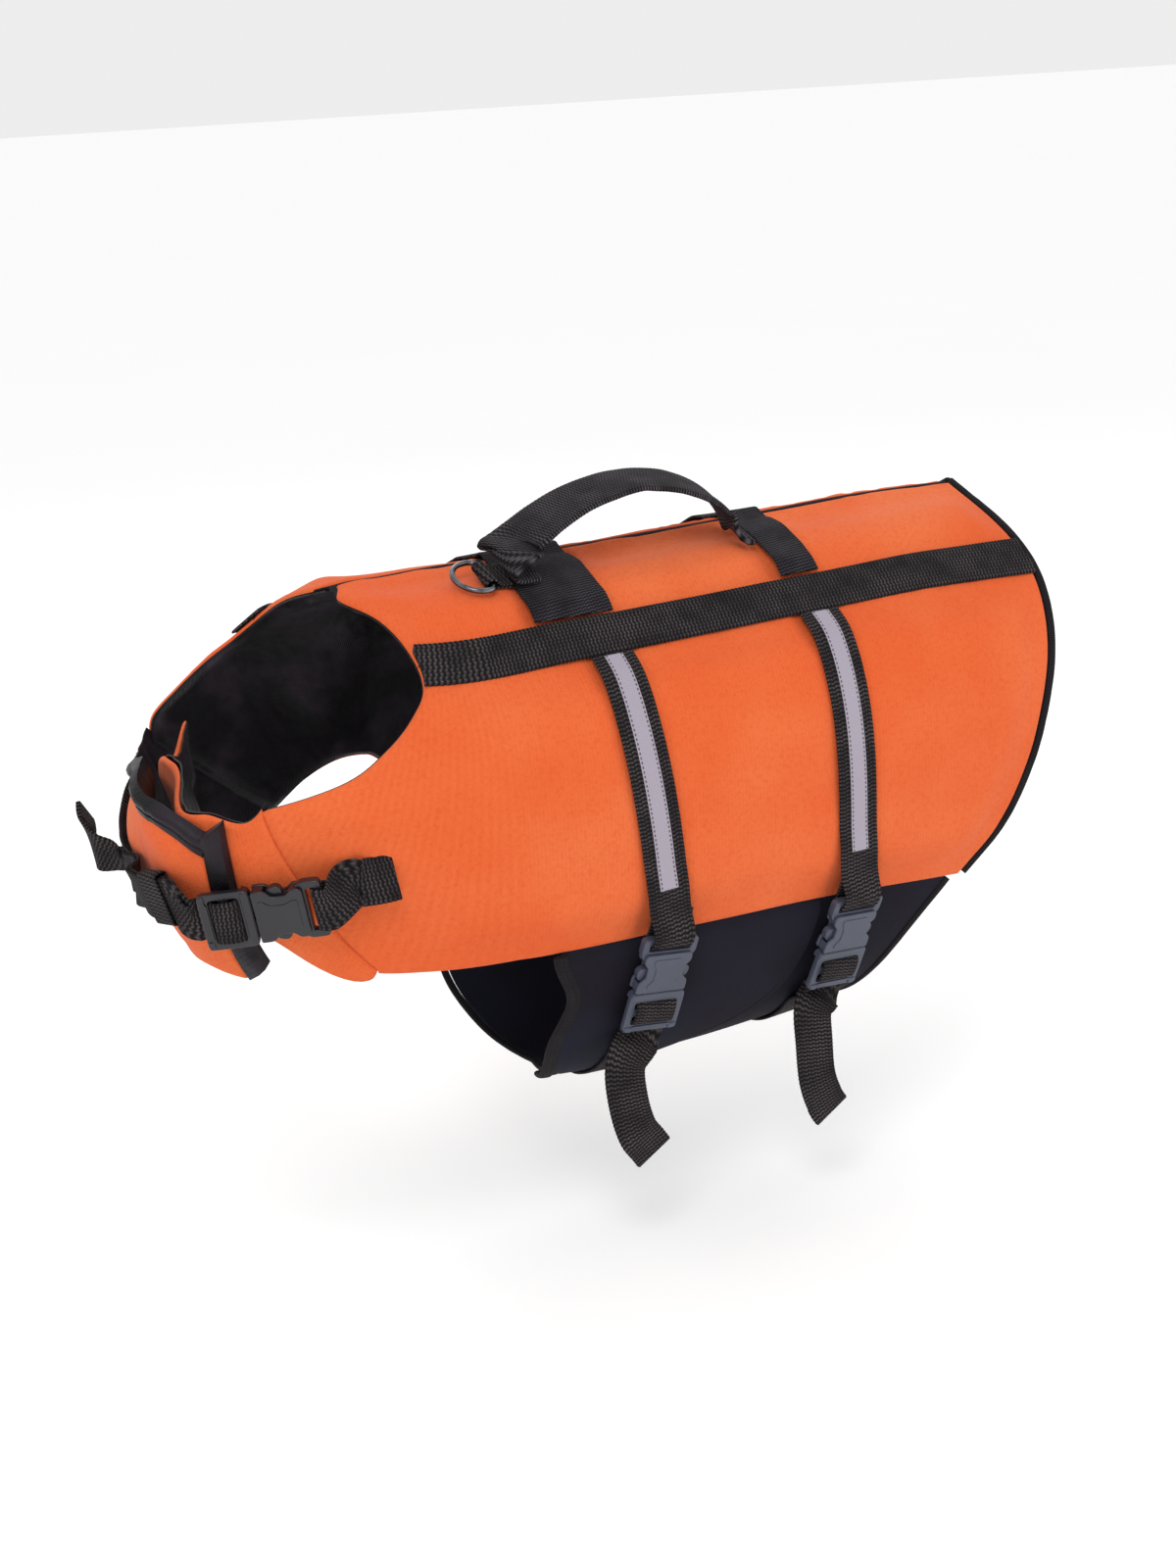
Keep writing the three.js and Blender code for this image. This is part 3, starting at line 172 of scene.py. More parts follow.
def figurePoint(side, x, down):
    side, x, down = [np.asarray(item, float) for item in np.broadcast_arrays(side, x, down)]
    place = np.clip(x - sectionX[0], 0, len(sectionX) - 1.001)
    row = place.astype(int)
    total = 0
    for step, weight in ((0, 1 - (place - row)), (1, place - row)):
        index = row + step
        sign, reach = folded(side, down, sectionGirth[index])
        upper, lower = sectionLengths[index, 0], sectionLengths[index, 1]
        isUpper = reach < upper
        share = np.where(isUpper, reach / upper, np.minimum((reach - upper) / lower, 1))
        share = share * (figure["samples"] - 1)
        spot = np.clip(share.astype(int), 0, figure["samples"] - 2)
        curve = np.where(isUpper, 0, 1)
        start, end = sectionLines[index, curve, spot], sectionLines[index, curve, spot + 1]
        flat = start + (end - start) * (share - spot)[..., None]
        lean = sectionLean[index]
        point = np.stack([sectionX[index] - flat[..., 1] * np.sin(lean), sign * flat[..., 0],
                          sectionRise[index] - flat[..., 1] * np.cos(lean)], axis=-1)
        total = total + point * weight[..., None]
    return total


def figureNormal(side, x, down):
    side, x, down = [np.asarray(item, float) for item in np.broadcast_arrays(side, x, down)]
    side, down = folded(side, down, halfGirth(x))
    ahead = figurePoint(side, x + 1.5, down) - figurePoint(side, x - 1.5, down)
    below = figurePoint(side, x, down + 1.5) - figurePoint(side, x, down - 1.5)
    normal = unit(np.cross(ahead, below))
    return np.where((side < 0)[..., None], -normal, normal)


def raised(side, x, down, height):
    return figurePoint(side, x, down) + figureNormal(side, x, down) * np.asarray(height, float)[..., None]


# Edges and seams, the same as the solids have
cut = {
    "clearance": 0.3, "foamInner": 1.5, "foamEdge": 3.0, "foamFull": 9.0, "stripHalf": 13, "seamDown": 82,
    "webWide": 25, "webThick": 1.6,
    # down, left, right
    "neck": [(0, -199, -200), (20, -195, -200), (46, -181, -198), (75, -171, -196), (95, -168, -199),
             (110, -172, -205), (128, -179, -210), (146, -188, -213), (163, -207, -208)],
    "rear": [(0, 211), (60, 214), (97, 214), (137, 209), (170, 201), (202, 191), (240, 172), (265, 150),
             (298, 120), (328, 105), (365, 97), (430, 93)],
    # x, height on the left, height on the right
    "lower": [(-223, -150, -150), (-184, -165, -160), (-168, -187, -150), (-158, -193, -131),
              (-148, -196, -123), (-136, -197, -128), (-114, -197, -150), (-85, -197, -180),
              (-44, -197, -194), (44, -198, -198), (148, -206, -206), (223, -212, -212)],
    "leg": [(190, -118), (255, -118), (285, -108), (318, -114), (357, -106), (400, -93), (440, -86)],
    "chestDown": 163, "chestNeckX": -207, "chestLowX": -166,
}
cut["gap"] = cut["clearance"] / 2


def lowerEdgeDowns(side):
    heights = along(cut["lower"], 1 if side < 0 else 2, sectionX)
    above, below = np.zeros(len(sectionX)), sectionGirth.copy()
    for _ in range(26):
        middle = (above + below) / 2
        higher = figurePoint(left, sectionX, middle)[:, 2] > heights
        above, below = np.where(higher, middle, above), np.where(higher, below, middle)
    return (above + below) / 2


lowerDowns = {left: lowerEdgeDowns(left), right: lowerEdgeDowns(right)}


def lowerDown(side, x):
    return np.where(np.asarray(side) < 0, np.interp(x, sectionX, lowerDowns[left]),
                    np.interp(x, sectionX, lowerDowns[right]))


def neckX(side, down):
    return np.where(np.asarray(side) < 0, along(cut["neck"], 1, down), along(cut["neck"], 2, down))


def rearX(down):
    return along(cut["rear"], 1, down)


def seamX(side, down):
    share = (down - cut["chestDown"]) / (lowerDown(side, cut["chestLowX"]) - cut["chestDown"])
    return mix(cut["chestNeckX"], cut["chestLowX"], np.minimum(share, 1))


def sideFrontX(side, down):
    return np.where(down < cut["chestDown"], neckX(side, down), seamX(side, down))


def cornerX():
    front, rear = 60.0, 215.0
    for _ in range(24):
        x = (front + rear) / 2
        front, rear = (x, rear) if rearX(lowerDown(right, x)) > x else (front, x)
    return (front + rear) / 2


rearCornerX = float(cornerX())


def puff(distance, flat, ramp):
    return smooth((distance - flat) / ramp)


def backFoam(side, x, down):
    lift = (puff(down - cut["stripHalf"], 0, 28) * puff(cut["seamDown"] - down, 12, 22)
            * puff(x - neckX(side, down), 0, 20) * puff(rearX(down) - x, 2, 22))
    return mix(cut["foamEdge"], cut["foamFull"], lift)


def sideFoam(side, x, down):
    lift = (puff(down - cut["seamDown"], 12, 30) * puff(lowerDown(side, x) - down, 0, 30)
            * puff(x - sideFrontX(side, down), 0, 34) * puff(rearX(down) - x, 4, 30))
    return mix(cut["foamEdge"], cut["foamFull"], lift)


# Meshes
def placed(name, data):
    thing = bpy.data.objects.new(name, data)
    bpy.context.scene.collection.objects.link(thing)
    return thing


def finishMesh(name, points, faces, uvs, angle=40.0):
    mesh = bpy.data.meshes.new(name)
    mesh.from_pydata([tuple(p) for p in np.asarray(points) * millimetre], [], faces)
    layer = mesh.uv_layers.new(name="UVMap")
    corners = np.empty(len(mesh.loops), dtype=np.int32)
    mesh.loops.foreach_get("vertex_index", corners)
    layer.data.foreach_set("uv", (np.asarray(uvs, float)[corners] * millimetre).astype(np.float32).ravel())
    mesh.polygons.foreach_set("use_smooth", np.ones(len(mesh.polygons), dtype=bool))
    mesh.set_sharp_from_angle(angle=math.radians(angle))
    mesh.validate()
    return placed("fine_" + name, mesh)


def insideOut(points, quads):
    a, b, c, d = (points[quads[:, k]] for k in range(4))
    return np.einsum("ij,ij->", a, np.cross(b, c) + np.cross(c, d)) < 0


def closedSheet(name, inner, outer, uv, angle=40.0):  # a closed body between two grids
    rows, columns = inner.shape[:2]
    layer = rows * columns
    index = np.arange(layer).reshape(rows, columns)
    top = index + layer
    quads = [np.stack([index[:-1, :-1], index[:-1, 1:], index[1:, 1:], index[1:, :-1]], -1).reshape(-1, 4),
             np.stack([top[:-1, :-1], top[1:, :-1], top[1:, 1:], top[:-1, 1:]], -1).reshape(-1, 4)]
    for a, b in ((index[:, 0], top[:, 0]), (index[::-1, -1], top[::-1, -1]),
                 (index[0, ::-1], top[0, ::-1]), (index[-1], top[-1])):
        quads.append(np.stack([a[:-1], a[1:], b[1:], b[:-1]], -1))
    faces = np.concatenate(quads)
    points = np.concatenate([inner.reshape(-1, 3), outer.reshape(-1, 3)])
    if insideOut(points, faces):
        faces = faces[:, ::-1]
    uvs = np.concatenate([uv.reshape(-1, 2), uv.reshape(-1, 2)])
    return finishMesh(name, points, faces.tolist(), uvs, angle)


def patchPlaces(edges, s, t):  # a patch between four edge curves
    s, t = s[:, None], t[None, :]
    top, bottom, front, rear = edges["top"](s), edges["bottom"](s), edges["front"](t), edges["rear"](t)
    zero, one = np.array([[0.0]]), np.array([[1.0]])
    corners = [edges["top"](zero), edges["bottom"](zero), edges["top"](one), edges["bottom"](one)]
    flat = [mix(mix(corners[0][k], corners[1][k], t), mix(corners[2][k], corners[3][k], t), s)
            for k in (0, 1)]
    return [mix(top[k], bottom[k], t) + mix(front[k], rear[k], s) - flat[k] for k in (0, 1)]


def edgeDown(edge, start, end):  # an edge that runs down, given by its x
    return lambda t: (edge(mix(start, end, t)), mix(start, end, t))


def edgeDistances(points):  # how far each point of a grid is from its front, rear, top and low edges
    lengthwise = np.concatenate([np.zeros((1, points.shape[1])),
                                 np.cumsum(np.linalg.norm(np.diff(points, axis=0), axis=2), axis=0)])
    crosswise = np.concatenate([np.zeros((points.shape[0], 1)),
                                np.cumsum(np.linalg.norm(np.diff(points, axis=1), axis=2), axis=1)], axis=1)
    return np.array([lengthwise, lengthwise[-1:] - lengthwise, crosswise, crosswise[:, -1:] - crosswise])


def rolled(distance, radius):  # cloth turned over an edge
    near = np.clip(distance / radius, 0, 1)
    return np.sqrt(np.maximum(1 - (1 - near) ** 2, 0))


def crowded(count, length, radius=3.0):  # shares that crowd at both ends, for a rolled edge
    close = np.array([0, 0.05, 0.18, 0.38, 0.66]) * radius / length
    return np.concatenate([close, np.linspace(radius / length, 1 - radius / length, count), 1 - close[::-1]])


# Ribbons
def throughPoints(points, values, step):  # a smooth run through points, with what belongs to each
    points, values = np.asarray(points, float), np.asarray(values, float)
    gone = np.concatenate([[0], np.cumsum(np.sqrt(np.linalg.norm(np.diff(points, axis=0), axis=1)))])
    padded = np.vstack([2 * points[0] - points[1], points, 2 * points[-1] - points[-2]])
    knots = np.concatenate([[gone[0] - (gone[1] - gone[0])], gone, [2 * gone[-1] - gone[-2]]])
    fine, carried = [], []
    for n in range(len(points) - 1):
        p0, p1, p2, p3 = padded[n:n + 4]
        t0, t1, t2, t3 = knots[n:n + 4]
        count = max(2, int(np.linalg.norm(p2 - p1) / 0.4))
        t = np.linspace(t1, t2, count, endpoint=False)[:, None]
        part = lambda low, high, a, b: (high - t) / (high - low) * a + (t - low) / (high - low) * b
        middle = part(t1, t2, p1, p2)
        before = part(t0, t2, part(t0, t1, p0, p1), middle)
        fine.append(part(t1, t2, before, part(t1, t3, middle, part(t2, t3, p2, p3))))
        carried.append(mix(values[n], values[n + 1], (t - t1) / (t2 - t1)))
    fine, carried = np.vstack([*fine, points[-1:]]), np.vstack([*carried, values[-1:]])
    reach = np.concatenate([[0], np.cumsum(np.linalg.norm(np.diff(fine, axis=0), axis=1))])
    marks = np.linspace(0, reach[-1], max(3, int(round(reach[-1] / step)) + 1))
    resample = lambda rows: np.stack([np.interp(marks, reach, rows[:, k]) for k in range(rows.shape[1])], -1)
    return resample(fine), resample(carried), marks


def webSection(wide, thick, columns=8):  # round-edged, flat; sideways and outward places
    r = thick / 2
    turn = np.radians([-90, -60, -25, 25, 60, 90])
    flat = np.linspace(-wide / 2 + r, wide / 2 - r, columns)
    rightEnd = [(wide / 2 - r + r * math.cos(a), r + r * math.sin(a)) for a in turn[1:-1]]
    leftEnd = [(-x, y) for x, y in rightEnd][::-1]
    low = [(x, 0.0) for x in flat]
    high = [(x, thick) for x in flat[::-1]]
    return np.array([*low, *rightEnd, *high, *leftEnd])


def ribbon(name, points, across, wide, thick, step=1.15, shape=None, hems=(), serrated=0.14):
    spots, sideways, marks = throughPoints(points, across, step)
    run = unit(np.gradient(spots, axis=0))
    out = unit(np.cross(run, sideways))
    for _ in range(2):  # takes the kinks out of the frame
        out[1:-1] = unit(out[:-2] + 2 * out[1:-1] + out[2:])
    sideways = unit(np.cross(out, run))
    section = webSection(wide, thick)
    rows = []
    for n, mark in enumerate(marks):
        flat = section.copy()
        if shape is not None:
            flat = shape(flat, mark, marks[-1])
        if serrated:
            edge = np.abs(flat[:, 0]) > wide / 2 - thick
            flat[edge, 0] += np.sign(flat[edge, 0]) * (serrated if n % 2 else -serrated)
        for where, reach, extra in hems:  # a folded end is twice as thick
            close = mark if where == "start" else marks[-1] - mark
            flat[:, 1] *= 1 + extra * smooth((reach - close) / 1.5)
        rows.append(spots[n] + flat[:, :1] * sideways[n] + flat[:, 1:] * out[n])
    rows = np.array(rows)
    count, ring = rows.shape[:2]
    index = np.arange(count * ring).reshape(count, ring)
    after = np.roll(index, -1, axis=1)
    quads = np.stack([index[:-1], after[:-1], after[1:], index[1:]], -1).reshape(-1, 4)
    faces = [*quads.tolist(), index[0][::-1].tolist(), index[-1].tolist()]
    uvs = np.stack([np.repeat(marks[:, None], ring, 1), np.repeat(section[None, :, 0], count, 0)], -1)
    flat = rows.reshape(-1, 3)
    if insideOut(flat, quads):
        faces = [f[::-1] for f in faces]
    return finishMesh(name, flat, faces, uvs.reshape(-1, 2), 60.0)


def tube(name, points, radius, sides=20):
    points = np.asarray(points, float)
    run = unit(np.roll(points, -1, 0) - np.roll(points, 1, 0))
    normal = unit(np.cross(points[len(points) // 4] - points[0], points[len(points) // 2] - points[0]))
    sideways = unit(np.cross(run, normal))
    turn = np.linspace(0, 2 * np.pi, sides, endpoint=False)
    rows = (points[:, None] + radius * (np.cos(turn)[None, :, None] * sideways[:, None]
                                        + np.sin(turn)[None, :, None] * normal[None, None]))
    index = np.arange(rows.shape[0] * sides).reshape(rows.shape[0], sides)
    nextRow, nextSide = np.roll(index, -1, 0), np.roll(index, -1, 1)
    faces = np.stack([index, nextSide, np.roll(nextRow, -1, 1), nextRow], -1).reshape(-1, 4)
    uvs = np.stack(np.meshgrid(np.arange(len(points)) * 1.0, turn * radius, indexing="ij"), -1).reshape(-1, 2)
    piece = finishMesh(name, rows.reshape(-1, 3), faces.tolist(), uvs, 80.0)
    facing = np.cross(rows[0, 1] - rows[0, 0], rows[1, 0] - rows[0, 0])
    if np.dot(facing, rows[0, 0] - points[0]) < 0:
        piece.data.flip_normals()
    return piece


# Finishes
class Socket:
    def __init__(self, finish, link):
        self.finish, self.link = finish, link

    def maths(self, operation, a, b=0.0):
        return self.finish.node("ShaderNodeMath", {"operation": operation}, {0: a, 1: b})

    def __add__(self, other): return self.maths("ADD", self, other)
    def __radd__(self, other): return self.maths("ADD", other, self)
    def __sub__(self, other): return self.maths("SUBTRACT", self, other)
    def __rsub__(self, other): return self.maths("SUBTRACT", other, self)
    def __mul__(self, other): return self.maths("MULTIPLY", self, other)
    def __rmul__(self, other): return self.maths("MULTIPLY", other, self)
    def __pow__(self, other): return self.maths("POWER", self, other)


class Finish:  # one material and its nodes
    def __init__(self, name, **constants):
        self.material = bpy.data.materials.new(name)
        self.material.use_nodes = True
        self.tree = self.material.node_tree
        self.shader = self.tree.nodes["Principled BSDF"]
        for socket, value in constants.items():
            self.shader.inputs[socket.replace("_", " ")].default_value = value

    def node(self, kind, settings=None, values=None, output=0):
        made = self.tree.nodes.new(kind)
        for key, value in (settings or {}).items():
            setattr(made, key, value)
        for key, value in (values or {}).items():
            if isinstance(value, Socket):
                self.tree.links.new(value.link, made.inputs[key])
            else:
                made.inputs[key].default_value = value
        return Socket(self, made.outputs[output])

    def feed(self, socket, value):
        self.tree.links.new(value.link, self.shader.inputs[socket])

    def place(self):  # along and across the cloth, in millimetres
        at = self.node("ShaderNodeUVMap", {"uv_map": "UVMap"})
        parts = self.tree.nodes.new("ShaderNodeSeparateXYZ")
        self.tree.links.new(at.link, parts.inputs[0])
        return Socket(self, parts.outputs[0]) * 1000.0, Socket(self, parts.outputs[1]) * 1000.0

    def wave(self, value, length):  # from 0 to 1, one crest for each length
        return self.maths("SINE", value * (2 * math.pi / length)) * 0.5 + 0.5

    def maths(self, operation, a, b=0.0, c=0.0):
        return self.node("ShaderNodeMath", {"operation": operation}, {0: a, 1: b, 2: c})

    def noise(self, scale, detail=3.0, rough=0.5):
        at = self.node("ShaderNodeTexCoord", output=3)
        return self.node("ShaderNodeTexNoise", {}, {"Vector": at, "Scale": scale, "Detail": detail,
                                                    "Roughness": rough})

    def blend(self, share, first, second):
        first, second = [tint if isinstance(tint, Socket) else (*tint, 1) for tint in (first, second)]
        return self.node("ShaderNodeMix", {"data_type": "RGBA"}, {0: share, 6: first, 7: second}, 2)

    def limit(self, value, low, high):  # 0 below low, 1 above high
        return self.node("ShaderNodeMapRange", {"interpolation_type": "SMOOTHSTEP"},
                         {"Value": value, "From Min": low, "From Max": high})

    def done(self, colour, rough, height, distance, strength):
        bump = self.node("ShaderNodeBump", {}, {"Height": height, "Distance": distance, "Strength": strength})
        for socket, value in (("Base Color", colour), ("Roughness", rough), ("Normal", bump)):
            self.feed(socket, value)
        return self.material


def linear(level):
    return level / 255 / 12.92 if level <= 10 else ((level / 255 + 0.055) / 1.055) ** 2.4


def srgb(*levels):
    return tuple(linear(level) for level in levels)


clothLook = {
    "orange": srgb(216, 94, 47), "lit": srgb(222, 110, 62), "deep": srgb(202, 66, 27), "weave": 0.85,
    "rough": 0.9,
}


def orangeCloth():
    finish = Finish("orange_cloth", Sheen_Weight=0.06, Sheen_Roughness=0.5, Specular_IOR_Level=0.12)
    u, v = finish.place()
    broad, fine = finish.noise(9.0, 3.0), finish.noise(420.0, 4.0, 0.7)
    weft = finish.wave(v, clothLook["weave"]) * finish.wave(u, clothLook["weave"] * 2.6)
    colour = finish.blend(finish.limit(broad, 0.35, 0.7), clothLook["orange"], clothLook["lit"])
    shade = finish.limit(fine, 0.42, 0.75) * 0.35 + weft * 0.16
    colour = finish.blend(shade, colour, clothLook["deep"])
    rough = finish.limit(fine, 0.3, 0.8) * 0.1 + (clothLook["rough"] - 0.06)
    return finish.done(colour, rough, weft * 0.5 + fine * 0.9, 0.00035, 0.55)


webLook = {
    "dark": srgb(17, 14, 16), "thread": srgb(98, 90, 91), "rib": 2.3, "column": 2.1, "rough": 0.8,
}


def webbing(name, dark, thread, rib, column, wide, stitches=True, strength=0.9):
    finish = Finish(name, Specular_IOR_Level=0.12)
    u, v = finish.place()
    odd = finish.wave(v, column * 2)
    step = finish.limit(odd, 0.42, 0.58)
    ribs = finish.wave(u + v * 0.12 + step * (rib * 0.2), rib)
    columns = finish.wave(v, column)
    yarn = ribs * (columns * 0.45 + 0.55)
    worn = finish.noise(60.0, 3.0, 0.6)
    light = (yarn ** 1.6) * (finish.limit(worn, 0.2, 0.8) * 0.8 + 0.2)
    colour, rough = finish.blend(light, dark, thread), worn * 0.12 + (webLook["rough"] - 0.06)
    height = yarn
    if stitches:
        edge = finish.maths("ABSOLUTE", v)
        line = finish.maths("ABSOLUTE", edge - (wide / 2 - 3.0))
        dash = finish.limit(finish.wave(u, 2.9), 0.3, 0.45) * (1 - finish.limit(line, 0.25, 0.5))
        height = height * (1 - dash * 0.7) - dash * 0.5
    return finish.done(colour, rough, height, 0.0007, strength)


def liningCloth():
    finish = Finish("lining_cloth", Specular_IOR_Level=0.2)
    u, v = finish.place()
    folds = finish.noise(26.0, 3.0, 0.55)
    fine = finish.wave(u, 0.8) * finish.wave(v, 0.8)
    # painted shade and highlight: the colour is darker in the hollows and lighter on the crests of the fold
    # noise that also drives the bump
    colour = finish.blend(finish.limit(folds, 0.44, 0.64), srgb(7, 4, 8), srgb(34, 26, 34))
    return finish.done(colour, folds * 0.2 + 0.34, folds * 1.0 + fine * 0.03, 0.006, 0.7)


def bellyCloth():
    finish = Finish("belly_cloth", Specular_IOR_Level=0.12)
    nap = finish.noise(900.0, 2.0, 0.6)
    broad = finish.noise(12.0, 2.0)
    colour = finish.blend(finish.limit(broad, 0.3, 0.75), srgb(25, 22, 30), srgb(29, 30, 43))
    return finish.done(colour, nap * 0.1 + 0.8, nap * 0.4 + broad * 3.0, 0.0005, 0.5)


def spineMesh():
    finish = Finish("spine_cloth", Specular_IOR_Level=0.1)
    u, v = finish.place()
    holes = finish.wave(u + finish.limit(finish.wave(v, 4.4), 0.45, 0.55) * 1.1, 2.2) * finish.wave(v, 2.2)
    colour = finish.blend(finish.limit(holes, 0.35, 0.7), srgb(34, 31, 34), srgb(8, 7, 8))
    return finish.done(colour, holes * 0.1 + 0.8, 1 - holes, 0.0009, 0.9)


def reflectiveTape():
    finish = Finish("reflective_tape", Specular_IOR_Level=0.35)
    u, v = finish.place()
    cells = finish.wave(u, 1.5) * finish.wave(v, 1.5)
    edge = finish.maths("ABSOLUTE", finish.maths("ABSOLUTE", v) - 4.4)
    dash = finish.limit(finish.wave(u, 2.6), 0.35, 0.55) * (1 - finish.limit(edge, 0.3, 0.55))
    colour = finish.blend(cells * 0.4, srgb(158, 150, 162), srgb(132, 125, 138))
    colour = finish.blend(dash, colour, srgb(78, 72, 82))
    return finish.done(colour, cells * 0.15 + 0.34, cells * 0.3 - dash, 0.0004, 0.6)


def mouldedPlastic(name, colour, light, rough):
    finish = Finish(name, Specular_IOR_Level=0.5)
    grain, broad = finish.noise(1400.0, 2.0, 0.6), finish.noise(40.0, 3.0)
    mottled = finish.blend(finish.limit(broad, 0.4, 0.8) * 0.5, colour, light)
    return finish.done(mottled, broad * 0.14 + (rough - 0.07), grain, 0.00012, 0.5)


def ringMetal():
    finish = Finish("ring_metal", Metallic=1.0)
    marks = finish.noise(160.0, 4.0, 0.6)
    colour = finish.blend(finish.limit(marks, 0.3, 0.8), srgb(120, 120, 126), srgb(70, 70, 76))
    return finish.done(colour, marks * 0.12 + 0.16, marks, 0.00006, 0.4)


def bindingTape():
    finish = Finish("binding_tape", Specular_IOR_Level=0.12)
    u, v = finish.place()
    ribs = finish.wave(u, 1.3) * (finish.wave(v, 1.2) * 0.4 + 0.6)
    worn = finish.noise(70.0, 3.0)
    colour = finish.blend(ribs * worn, srgb(18, 16, 18), srgb(58, 54, 57))
    return finish.done(colour, worn * 0.1 + 0.8, ribs, 0.0004, 0.7)


looks = {
    "orange": orangeCloth(), "lining": liningCloth(), "belly": bellyCloth(), "spine": spineMesh(),
    "tape": reflectiveTape(), "binding": bindingTape(), "ring": ringMetal(),
    "web": webbing("webbing", webLook["dark"], webLook["thread"], webLook["rib"], webLook["column"],
                   cut["webWide"]),
    "band": webbing("band_webbing", srgb(17, 15, 18), srgb(88, 84, 92), 1.9, 1.7, 48, False, 0.8),
    "grip": webbing("grip_webbing", srgb(16, 13, 15), srgb(104, 98, 104), 1.8, 1.6, 38, False, 0.9),
    "grey": mouldedPlastic("grey_plastic", srgb(62, 67, 82), srgb(84, 90, 106), 0.42),
    "dark": mouldedPlastic("dark_plastic", srgb(27, 25, 30), srgb(44, 42, 46), 0.26),
}


def nodeOf(piece):
    return piece.name.replace("fine_", "")


def dress(piece, look, body="jacket"):
    piece.data.materials.append(looks[look])
    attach(piece, body)
    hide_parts(nodeOf(piece))
    return piece


print("figure and finishes ready")

# Where straps press into the padding
strapLines = {
    "front": {"topX": -72, "lowX": -59, "endX": -66}, "rear": {"topX": 60, "lowX": 62, "endX": 55},
    "strapTop": cut["seamDown"] + cut["webWide"] / 2 + 0.8,
}
bands = {"front": (-83, 48), "rear": (62, cut["webWide"]), "reach": cut["seamDown"] - cut["webWide"] / 2 - 1}


def strapX(name, down):
    line, start = strapLines[name], strapLines["strapTop"]
    low = lowerDown(left, line["lowX"])
    return mix(line["topX"], line["lowX"], smooth((down - start) / (low - start) * 0.98))


def pressed(x, down):  # how deep straps and bands press the padding in
    dip, deep, soft = 0, 1.5, 9
    for name in ("front", "rear"):
        off = np.abs(x - strapX(name, down)) - 10.5
        dip = dip + deep * (1 - smooth(off / soft)) * smooth((down - 84) / 8)
        middle, wide = bands[name]
        off = np.abs(x - middle) - wide / 2 + 2
        dip = dip + deep * (1 - smooth(off / soft)) * (1 - smooth((down - 70) / 8))
    return dip


print("straps laid out")

panelLook = {"roll": 3.2, "creases": 0.9, "puckers": 0.8}


def creased(side, x, down, toEdges):  # uneven fullness and the pull of the seams
    seed = 11 if side < 0 else 29
    lift = panelLook["creases"] * (0.7 * ripple(x, down, seed, 46) + 0.3 * ripple(x, down, seed + 1, 21))
    pull = panelLook["puckers"]
    for n, (distance, run) in enumerate(zip(toEdges[[2, 3, 0, 1]], (x, x, down, down))):
        near = np.exp(-distance / 9.0) * smooth(distance / 3.5) * (1.7 if n == 0 else 1.0)
        gathers = 0.6 * wander(run, seed + 5 + n, 9) + 0.4 * wander(run, seed + 15 + n, 4.5)
        lift = lift + pull * near * gathers
    return lift


def paddedPanel(name, side, edges, foam, alongCount, acrossCount, alongLength, acrossLength, extra):
    s, t = crowded(alongCount, alongLength), crowded(acrossCount, acrossLength)
    x, down = patchPlaces(edges, s, t)
    base = raised(side, x, down, np.full(x.shape, cut["foamInner"]))
    toEdges = edgeDistances(base)
    nearest = toEdges.min(axis=0)
    inside = smooth(nearest / 9)
    thick = foam(side, x, down) - pressed(x, down) * inside
    thick = thick + creased(side, x, down, toEdges) * smooth(nearest / 3)
    thick = thick + extra(x, down) * inside
    height = cut["foamInner"] + 0.35 + (thick - 0.35) * rolled(nearest, panelLook["roll"])
    outer = raised(side, x, down, height)
    piece = closedSheet(name, base, outer, np.stack([x, down], -1))
    dress(piece, "orange")
    return piece


def backEdges(side, top=13.15, wavy=0.0):
    low = cut["seamDown"] - cut["gap"]
    seed = 61 if side < 0 else 67
    frontX = lambda down: neckX(side, down) + 5 * (1 - smooth((down - 3) / 14))
    return {
        "top": lambda s: (mix(frontX(top), rearX(top), s), top + wavy * wander(s * 400, seed, 15)),
        "bottom": lambda s: (mix(frontX(low), rearX(low), s), low + 0 * s),
        "front": edgeDown(frontX, top, low), "rear": edgeDown(rearX, top, low),
    }


def sideEdges(side, spare=0.0):
    top = cut["seamDown"] + cut["gap"]
    lowFront = float(lowerDown(side, cut["chestLowX"])) + spare
    lowRear = float(lowerDown(side, rearCornerX)) + spare

    def bottom(s):
        x = mix(cut["chestLowX"] + cut["gap"], rearCornerX, s)
        return x, lowerDown(side, x) + spare

    def front(t):
        down = mix(top, lowFront, t)
        return sideFrontX(side, down) + cut["gap"] * smooth((down - cut["chestDown"]) / 3), down

    return {
        "top": lambda s: (mix(neckX(side, top), rearX(top), s), top + 0 * s),
        "bottom": bottom, "front": front, "rear": edgeDown(rearX, top, lowRear),
    }


# Dents and creases: x, down, how wide along x, how wide down, how high
backCreases = {
    left: [(46, 44, 9, 20, -3.2), (34, 62, 16, 12, -1.0), (-104, 52, 13, 10, -1.0),
           (128, 30, 34, 9, -0.9), (176, 52, 20, 9, -0.8), (-30, 26, 30, 7, -0.8), (-168, 44, 16, 14, -0.9)],
    right: [(40, 44, 14, 20, -1.4), (-20, 30, 30, 8, -0.8), (140, 34, 30, 10, -0.9),
            (-160, 48, 16, 14, -0.9)],
}
sideCreases = {
    left: [(-150, 150, 18, 26, -0.9), (-20, 236, 34, 9, -0.7), (120, 214, 30, 10, -0.7),
           (-112, 205, 20, 12, -0.8), (0, 104, 46, 5, -0.5), (170, 130, 10, 34, -0.6)],
    right: [(-140, 150, 20, 26, -1.0), (-10, 230, 34, 9, -0.7), (110, 214, 30, 10, -0.7),
            (0, 104, 46, 5, -0.5), (168, 130, 10, 34, -0.6)],
}


def dents(rows):
    def height(x, down):
        total = 0
        for atX, atDown, wideX, wideDown, lift in rows:
            total = total + lift * trough(x, atX, wideX) * trough(down, atDown, wideDown)
        return total
    return height


